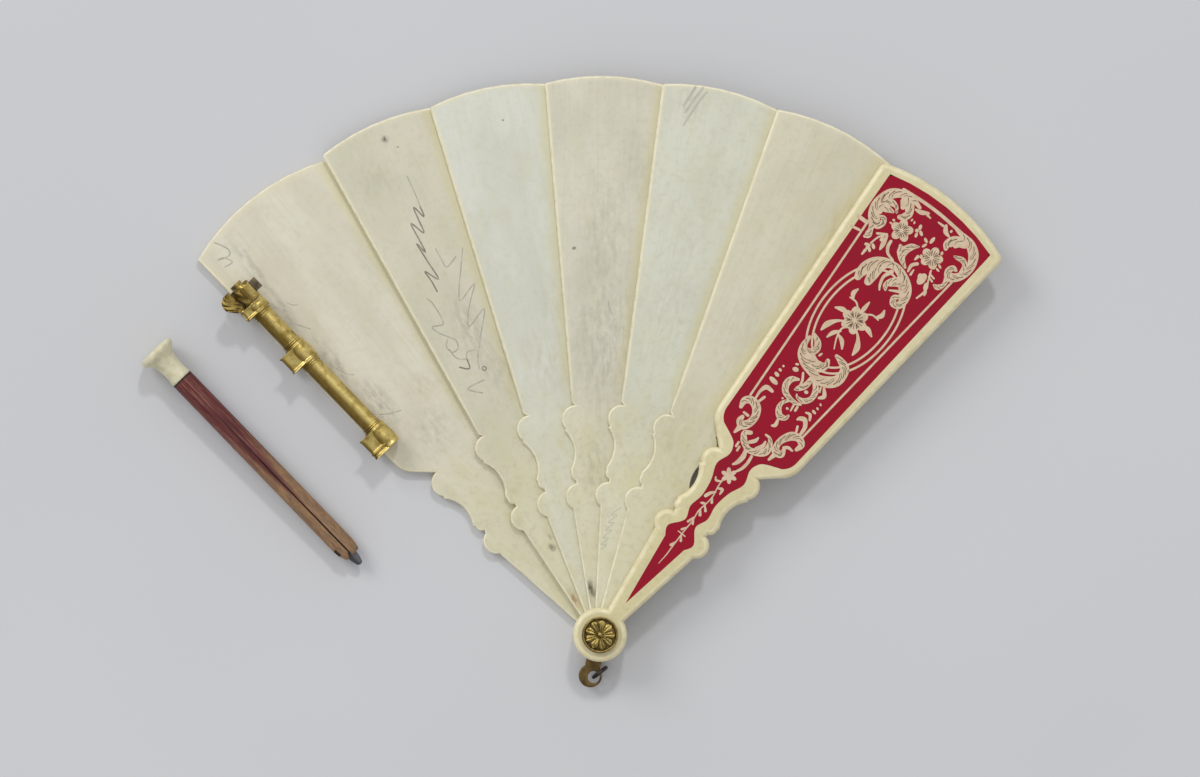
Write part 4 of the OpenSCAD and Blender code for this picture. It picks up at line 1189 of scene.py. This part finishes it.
clipSaddle = {"path": smoothPath([(1.25, 4.7), (0.8, 4.7), (0.35, 4.69), (-0.1, 4.7), (-0.5, 4.72),
                                  (-0.9, 4.72), (-1.2, 4.62), (-1.36, 4.46)], 3),
              "rows": 36, "rim": 0.1, "rimLip": 0.3, "rimWide": 0.27, "hollow": 0.13, "flare": 0.16,
              "thick": 0.3, "ridge": 0.0, "waves": 0.0, "slant": 0.0, "extra": (), "extraWide": 0.17,
              "reach": ((0.0, 1.0), (99.0, 1.0))}
upperSaddle = {**clipSaddle, "reach": ((0.0, 0.55), (99.0, 0.55)), "flare": 0.1}
lowerSaddle = {**clipSaddle, "extra": (0.85,)}
headSaddle = {**clipSaddle,
              "path": smoothPath([(-0.02, 4.46), (-0.4, 4.68), (-0.8, 4.9), (-1.2, 5.08), (-1.6, 5.16),
                                  (-1.95, 5.12), (-2.16, 4.97)], 4),
              "rim": 0.0, "rimLip": 0.0, "rimWide": 0.25, "hollow": -0.1, "flare": 0.0, "thick": 0.2,
              "ridge": 0.1, "waves": 21.0, "slant": 0.9, "from": 6.8, "long": 3.3,
              "reach": ((6.8, 0.48), (7.2, 0.82), (7.75, 1.0), (8.6, 1.02), (9.3, 0.82), (10.1, 0.5))}
saddles = {"upper": upperSaddle, "middle": clipSaddle, "lower": lowerSaddle}
jaw = {"root": -0.2, "crest": 4.3, "flatten": 0.25,
       "upper": ((6.9, 0.6), (7.3, 0.85), (7.8, 1.0), (8.6, 1.0), (9.3, 0.8), (9.9, 0.6), (10.4, 0.56),
                 (10.7, 0.56), (12.1, 0.56)),
       "middle": ((19.3, 0.78), (22.5, 0.78)), "lower": ((36.5, 0.78), (40.3, 0.78))}
tongueTip = {"at": (3.8, -8.73, 6.73), "size": (1.3, 1.86, 0.5), "round": 0.09, "segments": 3}


def fluted(bm, matrix, look):
    # swelling shell with slanting flutes, open arc of a closed cross-section
    rows, steps = look["rows"], look["steps"]
    rings = []
    for k in range(steps + 1):
        a = look["start"] + look["sweep"] * k / steps
        ring = []
        for i in range(rows + 1):
            f = i / rows
            wave = math.cos(math.radians(look["flutes"] * a + look["twist"] * f))
            edge = min(1.0, look["fadeIn"] * f, look["fadeIn"] * (1 - f))
            r = look["radius"] + look["swell"] * math.sin(math.pi * f) + look["depth"] * wave * edge
            ring.append((r, look["length"] * f))
        ring += [(look["inner"], look["length"]), (look["inner"], 0.0)]
        cos, sin = unit(a)
        rings.append([bm.verts.new(matrix @ (Vector((r * cos, r * sin, z)) * mm)) for r, z in ring])
    joinRings(bm, rings)


def between(rows, x):
    for (a, p), (b, q) in zip(rows, rows[1:]):
        if x <= b:
            return p + (q - p) * max(0.0, (x - a) / (b - a))
    return rows[-1][1]


def drawIn(bm, reach):
    # brings the jaw's lip nearer to the rod; rows of reach are (along, share kept)
    back = edgeMatrix.inverted()
    across = edgeMatrix.to_3x3() @ Vector((0, 1, 0))
    for row in reach[1:-1]:
        bmesh.ops.bisect_plane(bm, geom=bm.verts[:] + bm.edges[:] + bm.faces[:], dist=1e-7,
                               plane_co=edgeMatrix @ Vector((0, -row[0] * mm, 0)), plane_no=across)
    root, crest = jaw["root"] * mm, jaw["crest"] * mm
    for v in bm.verts:
        p = back @ v.co
        if p.x < root:
            p.x = root + (p.x - root) * between(reach, -p.y / mm)
            p.z = min(p.z, crest + (p.z - crest) * jaw["flatten"])
            v.co = edgeMatrix @ p


def saddleSheet(bm, at, long, look):
    # sheet from the collar down to the jaw's lip; its two ends are raised rims that flare at the lip
    rows, path = look["rows"], look["path"]
    top, under = [], []
    for i in range(rows + 1):
        u = long * i / rows
        end = math.exp(-(min(u, long - u) / look["rimWide"]) ** 2)
        for ridge in look["extra"]:
            end = max(end, math.exp(-((long - ridge - u) / look["extraWide"]) ** 2))
        part = between(look["reach"], at + u)
        line, low = [], []
        for k, (w, z) in enumerate(path):
            out = k / (len(path) - 1)
            up = (look["rim"] + (look["rimLip"] - look["rim"]) * out) * end - look["hollow"] * (1 - end)
            wave = math.cos(look["waves"] * (u / long + look["slant"] * k / len(path)))
            up += look["ridge"] * (1 - end) * wave
            x = (w - look["flare"] * end * out ** 2) * (part if w < 0 else 1.0)
            line.append(bm.verts.new(edgeMatrix @ (Vector((x, -at - u, z + up)) * mm)))
            low.append(bm.verts.new(edgeMatrix @ (Vector((x, -at - u, z - look["thick"])) * mm)))
        top.append(line)
        under.append(low)
    joinSheets(bm, top, under)


def easedCopy(node, name, body, look, width, reach=None):
    bm = cadShape(node)
    if reach:
        drawIn(bm, reach)
    crisp = crispEdges(bm, holder["crispAngle"])
    roundEdges(bm, [e for e in crisp if e.calc_length() > holder["shortest"] * mm], width, 2)
    asPiece(bm, name, body, look, (node,))


def barrelProfile(long):
    # swelling barrel over the top of the collar, with a hollow and a rim at each end
    c, rows = holder["collar"], barrel["rows"]
    outer = [(c + r, z) for r, z in barrel["rim"]]
    foot, rimEnd = outer[-1]
    belly = [(foot + barrel["swell"] * math.sin(math.pi * k / rows), rimEnd + (long - 2 * rimEnd) * k / rows)
             for k in range(1, rows)]
    closing = [(r, long - z) for r, z in outer[::-1]]
    return outer + belly + closing + [(c - barrel["inside"], long), (c - barrel["inside"], 0)]


def holderPieces():
    for name, at, long in holder["clips"]:
        easedCopy(name + "_clip", name + "Clip", "rear", "wornGilt", holder["clipRound"],
                  jaw[name])
        shell = bmesh.new()
        lathe(shell, barrelProfile(long), alongEdge(holder["inset"], at, holder["up"]), barrel["steps"],
              barrel["start"], barrel["sweep"], closed=True)
        saddleSheet(shell, at, long, saddles[name])
        asPiece(shell, name + "ClipBarrel", "rear", "wornGilt")
    wire = holder["ringWire"]
    section = [(holder["rod"] + holder["ringOut"] + wire * cos, wire * sin)
               for cos, sin in (unit(30 * k) for k in range(12))]
    for name, at, pitch in holder["rings"]:
        ring = bmesh.new()
        lathe(ring, section, upright, steps=40, closed=True)
        copiesPiece(ring, name + "RodRings", "rear", "wornGilt",
                    alongEdge(holder["inset"], at, holder["up"]), holder["ringCount"], (0, 0, pitch))
    fingers = bmesh.new()
    saddleSheet(fingers, headSaddle["from"], headSaddle["long"], headSaddle)
    asPiece(fingers, "upperClipFlutes", "rear", "agedGilt")
    for node, look in (("holder_rod", "wornGilt"), ("journal_cap", "agedGilt"),
                       ("clip_rivets", "agedBrass")):
        recolour(node, look)


def claspPieces():
    easedCopy("clasp_latch", "claspLatch", "clasp", "wornGilt", holder["claspRound"])
    flutes = bmesh.new()
    fluted(flutes, alongEdge(holder["inset"], headFlutes["from"], holder["up"]), headFlutes)
    asPiece(flutes, "claspFlutes", "clasp", "agedGilt")
    blockPiece(edgeMatrix @ shifted(*tongueTip["at"]), tongueTip, "claspTongueTip", "clasp",
               "darkBronze")  # darkened end of the tongue


holderPieces()
claspPieces()
print("holder and clasp made")


# pencil

pencil = {"caseFrom": 6.0, "caseTo": 42.7, "radius": 1.72, "bore": 0.9, "gap": 0.17, "openFrom": 22.0,
          "closedSeam": 0.012, "seamStep": 0.05, "seamSlope": 0.8, "tipLong": 2.4, "tipTaper": 0.3,
          "tipWave": 0.03, "tipWaves": 7, "chip": {1: (0.4, 0.5), -1: (2.2, 1.1)}, "chipWaves": 3.1,
          "stations": 40, "round": 30,
          "mapLength": 50, "headUp": 2.92, "headAt": 1.4, "aside": (-14, -6.5, 0)}
finialProfile = [(0, 0.1), (1.2, 0.04), (2.3, 0.0), (2.66, 0.1), (2.85, 0.34), (2.9, 0.66), (2.8, 0.98),
                 (2.56, 1.24), (2.26, 1.5), (2.0, 1.82), (1.82, 2.2), (1.7, 2.7), (1.63, 3.4), (1.6, 4.1),
                 (1.61, 4.8), (1.66, 5.3), (1.71, 5.6), (1.72, 5.8), (1.66, 5.97), (0.86, 5.98), (0.86, 9.0),
                 (0, 9.0)]
lead = {"from": 18, "radius": 0.86,  # worn end: radius, distance past the case's end
        "worn": ((0.86, -0.8), (0.83, -0.2), (0.75, 0.6), (0.62, 1.2), (0.46, 1.65), (0.24, 1.84),
                 (0, 1.88))}
seam = {"rows": 24, "from": 1.0, "short": 1.6, "half": 0.05, "spread": 0.8, "low": 1.0, "high": 1.42}
tipChip = {"turn": 146, "out": 1.54, "back": 1.75, "lean": -6, "size": (0.36, 0.5, 0.95),
           "round": 0.07, "segments": 2}
lie = math.atan((pencil["headUp"] - pencil["radius"]) / (pencil["caseTo"] - pencil["headAt"]))
pencilMatrix = (edgeMatrix @ shifted(*pencil["aside"]) @ Matrix.Rotation(lie, 4, "X")
                @ shifted(0, pencil["headAt"], pencil["headUp"]) @ Matrix.Rotation(math.pi / 2, 4, "X"))


def caseHalf(side, name, node):
    bm = bmesh.new()
    layer = bm.loops.layers.uv.new("pencilMap")
    stations, steps = pencil["stations"], pencil["round"]
    phase, depth = pencil["chip"][side]
    rings, maps = [], []
    for i in range(stations + 1):
        s = i / stations
        z0 = pencil["caseFrom"] + (pencil["caseTo"] - pencil["caseFrom"]) * s
        gone = max(0.0, (z0 - pencil["openFrom"]) / (pencil["caseTo"] - pencil["openFrom"]))
        opening = (pencil["closedSeam"] + min(pencil["seamStep"], pencil["seamSlope"] * gone)
                   + pencil["gap"] * 0.5 * gone)
        tip = max(0.0, (z0 - (pencil["caseTo"] - pencil["tipLong"])) / pencil["tipLong"])
        ring, uv = [], []
        for radius, order in ((pencil["radius"], range(steps + 1)), (pencil["bore"], range(steps, -1, -1))):
            lean = math.asin(opening / radius)
            for k in order:
                a = -math.pi / 2 + lean + (math.pi - 2 * lean) * k / steps  # from below round to above
                r = radius
                if radius == pencil["radius"]:
                    wave = pencil["tipWave"] * math.sin(pencil["tipWaves"] * a + z0)
                    r -= pencil["tipTaper"] * tip ** 2 + wave * tip
                chip = tip * (0.5 + 0.5 * math.sin(pencil["chipWaves"] * a + phase)) * depth
                x, y, z = side * r * math.cos(a), r * math.sin(a), z0 - chip * tip
                ring.append(bm.verts.new(pencilMatrix @ (Vector((x, y, z)) * mm)))
                uv.append(((math.atan2(y, x) / math.tau) % 1.0, z / pencil["mapLength"]))
        rings.append(ring)
        maps.append(uv)
    size = len(rings[0])

    def face(corners):
        if side < 0:
            corners = corners[::-1]
        f = bm.faces.new([rings[i][k] for i, k in corners])
        around = [maps[i][k][0] for i, k in corners]
        for loop, (i, k) in zip(f.loops, corners):
            u, v = maps[i][k]
            if max(around) - min(around) > 0.5 and u < 0.5:
                u += 1
            loop[layer].uv = (u, v)

    for i in range(stations):
        for k in range(size):
            n = (k + 1) % size
            face([(i, k), (i, n), (i + 1, n), (i + 1, k)])
    for k in range(steps):
        for i, turned in ((0, False), (stations, True)):
            quad = [(i, k), (i, size - 1 - k), (i, size - 2 - k), (i, k + 1)]
            face(quad[::-1] if turned else quad)
    faceOut(bm)
    asPiece(bm, name, "pencil", "wornPencilWood", (node,), sharp=50)


def seamShadePiece():
    # painted shade: a dark sheet that fills the open seam just under the surface, standing in for the shadow
    # inside it
    bm = bmesh.new()
    rings = []
    for i in range(seam["rows"] + 1):
        s = i / seam["rows"]
        z = pencil["openFrom"] + seam["from"] + (pencil["caseTo"] - seam["short"] - pencil["openFrom"]) * s
        half = seam["half"] + pencil["gap"] * seam["spread"] * s
        corners = ((-half, seam["low"]), (half, seam["low"]), (half, seam["high"]), (-half, seam["high"]))
        rings.append([bm.verts.new(pencilMatrix @ (Vector((x, y, z)) * mm)) for x, y in corners])
    joinRings(bm, rings)
    asPiece(bm, "pencilSeamShade", "pencil", "seamDirt")


def leadPieces():
    # worn lead, and the dark chip in the outer side of the left half's tip
    end = pencil["caseTo"]
    profile = [(0, lead["from"]), (lead["radius"], lead["from"])] + [(r, end + z) for r, z in lead["worn"]]
    turnedPiece(profile, pencilMatrix, "pencilLead", "pencil", "leadGrey", ("pencil_lead",), 32)
    matrix = (pencilMatrix @ Matrix.Rotation(math.radians(tipChip["turn"]), 4, "Z")
              @ shifted(tipChip["out"], 0, end - tipChip["back"])
              @ Matrix.Rotation(math.radians(tipChip["lean"]), 4, "Y"))
    blockPiece(matrix, tipChip, "pencilTipChip", "pencil", "seamDirt")


seamShadePiece()
caseHalf(1, "pencilCaseRight", "pencil_case_right")
caseHalf(-1, "pencilCaseLeft", "pencil_case_left")
turnedPiece(finialProfile, pencilMatrix, "pencilFinial", "pencil", "finialBone",
            ("pencil_finial",), sharp=60)
leadPieces()
print("pencil made")


# stage, light and camera

stage = {"floor": shade(206, 206, 208), "floorDeep": 0.97, "floorSize": 1.6, "floorDrop": 0.00002,
         "wash": (0.01, 2.0), "washFade": (0.3, 0.7), "floorRough": 0.9, "floorSpecular": 0.1,
         "world": (0.975, 0.985, 1.0, 1.0), "worldStrength": 0.633,
         "lamps": (("keyLamp", (-1.5, 1.22, 1.36), 1.1, 18.3), ("fillLamp", (0.31, 1.82, 1.85), 0.27, 14.4)),
         "lookAt": (0.0, 0.0368, 0.0), "wide": 0.180, "away": 1.5, "sensor": 36.0, "clipEnd": 20}


def stageScene():
    scene = bpy.context.scene
    scene.view_settings.view_transform = "Standard"
    bm = bmesh.new()
    bmesh.ops.create_grid(bm, x_segments=1, y_segments=1, size=stage["floorSize"] / 2)
    floor = addObject("floor", toMesh(bm, "floor"))
    floor.location.z = -stage["floorDrop"]
    mat, tree, skin = newMaterial("paleFloor")
    wash = fade(tree, noise(tree, objectMillimetres(tree), *stage["wash"]), *stage["washFade"])
    deep = tuple(c * stage["floorDeep"] for c in stage["floor"][:3]) + (1.0,)
    tree.links.new(tint(tree, wash, stage["floor"], deep), skin["Base Color"])
    skin["Roughness"].default_value = stage["floorRough"]
    skin["Specular IOR Level"].default_value = stage["floorSpecular"]
    floor.data.materials.append(mat)
    scene.world = bpy.data.worlds.new("studio")
    scene.world.use_nodes = True
    sky = scene.world.node_tree.nodes["Background"].inputs
    sky["Color"].default_value = stage["world"]
    sky["Strength"].default_value = stage["worldStrength"]
    target = Vector(stage["lookAt"])
    for name, at, size, power in stage["lamps"]:
        lamp = bpy.data.lights.new(name, "AREA")
        lamp.shape = "DISK"
        lamp.size = size
        lamp.energy = power
        obj = addObject(name, lamp)
        obj.location = target + Vector(at)
        obj.rotation_euler = (target - obj.location).to_track_quat("-Z", "Y").to_euler()
    cam = bpy.data.cameras.new("camera")
    cam.sensor_width = stage["sensor"]
    cam.lens = stage["sensor"] * stage["away"] / stage["wide"]
    cam.clip_end = stage["clipEnd"]
    scene.camera = addObject("camera", cam)
    scene.camera.location = target + Vector((0, 0, stage["away"]))


stageScene()
print("stage set")
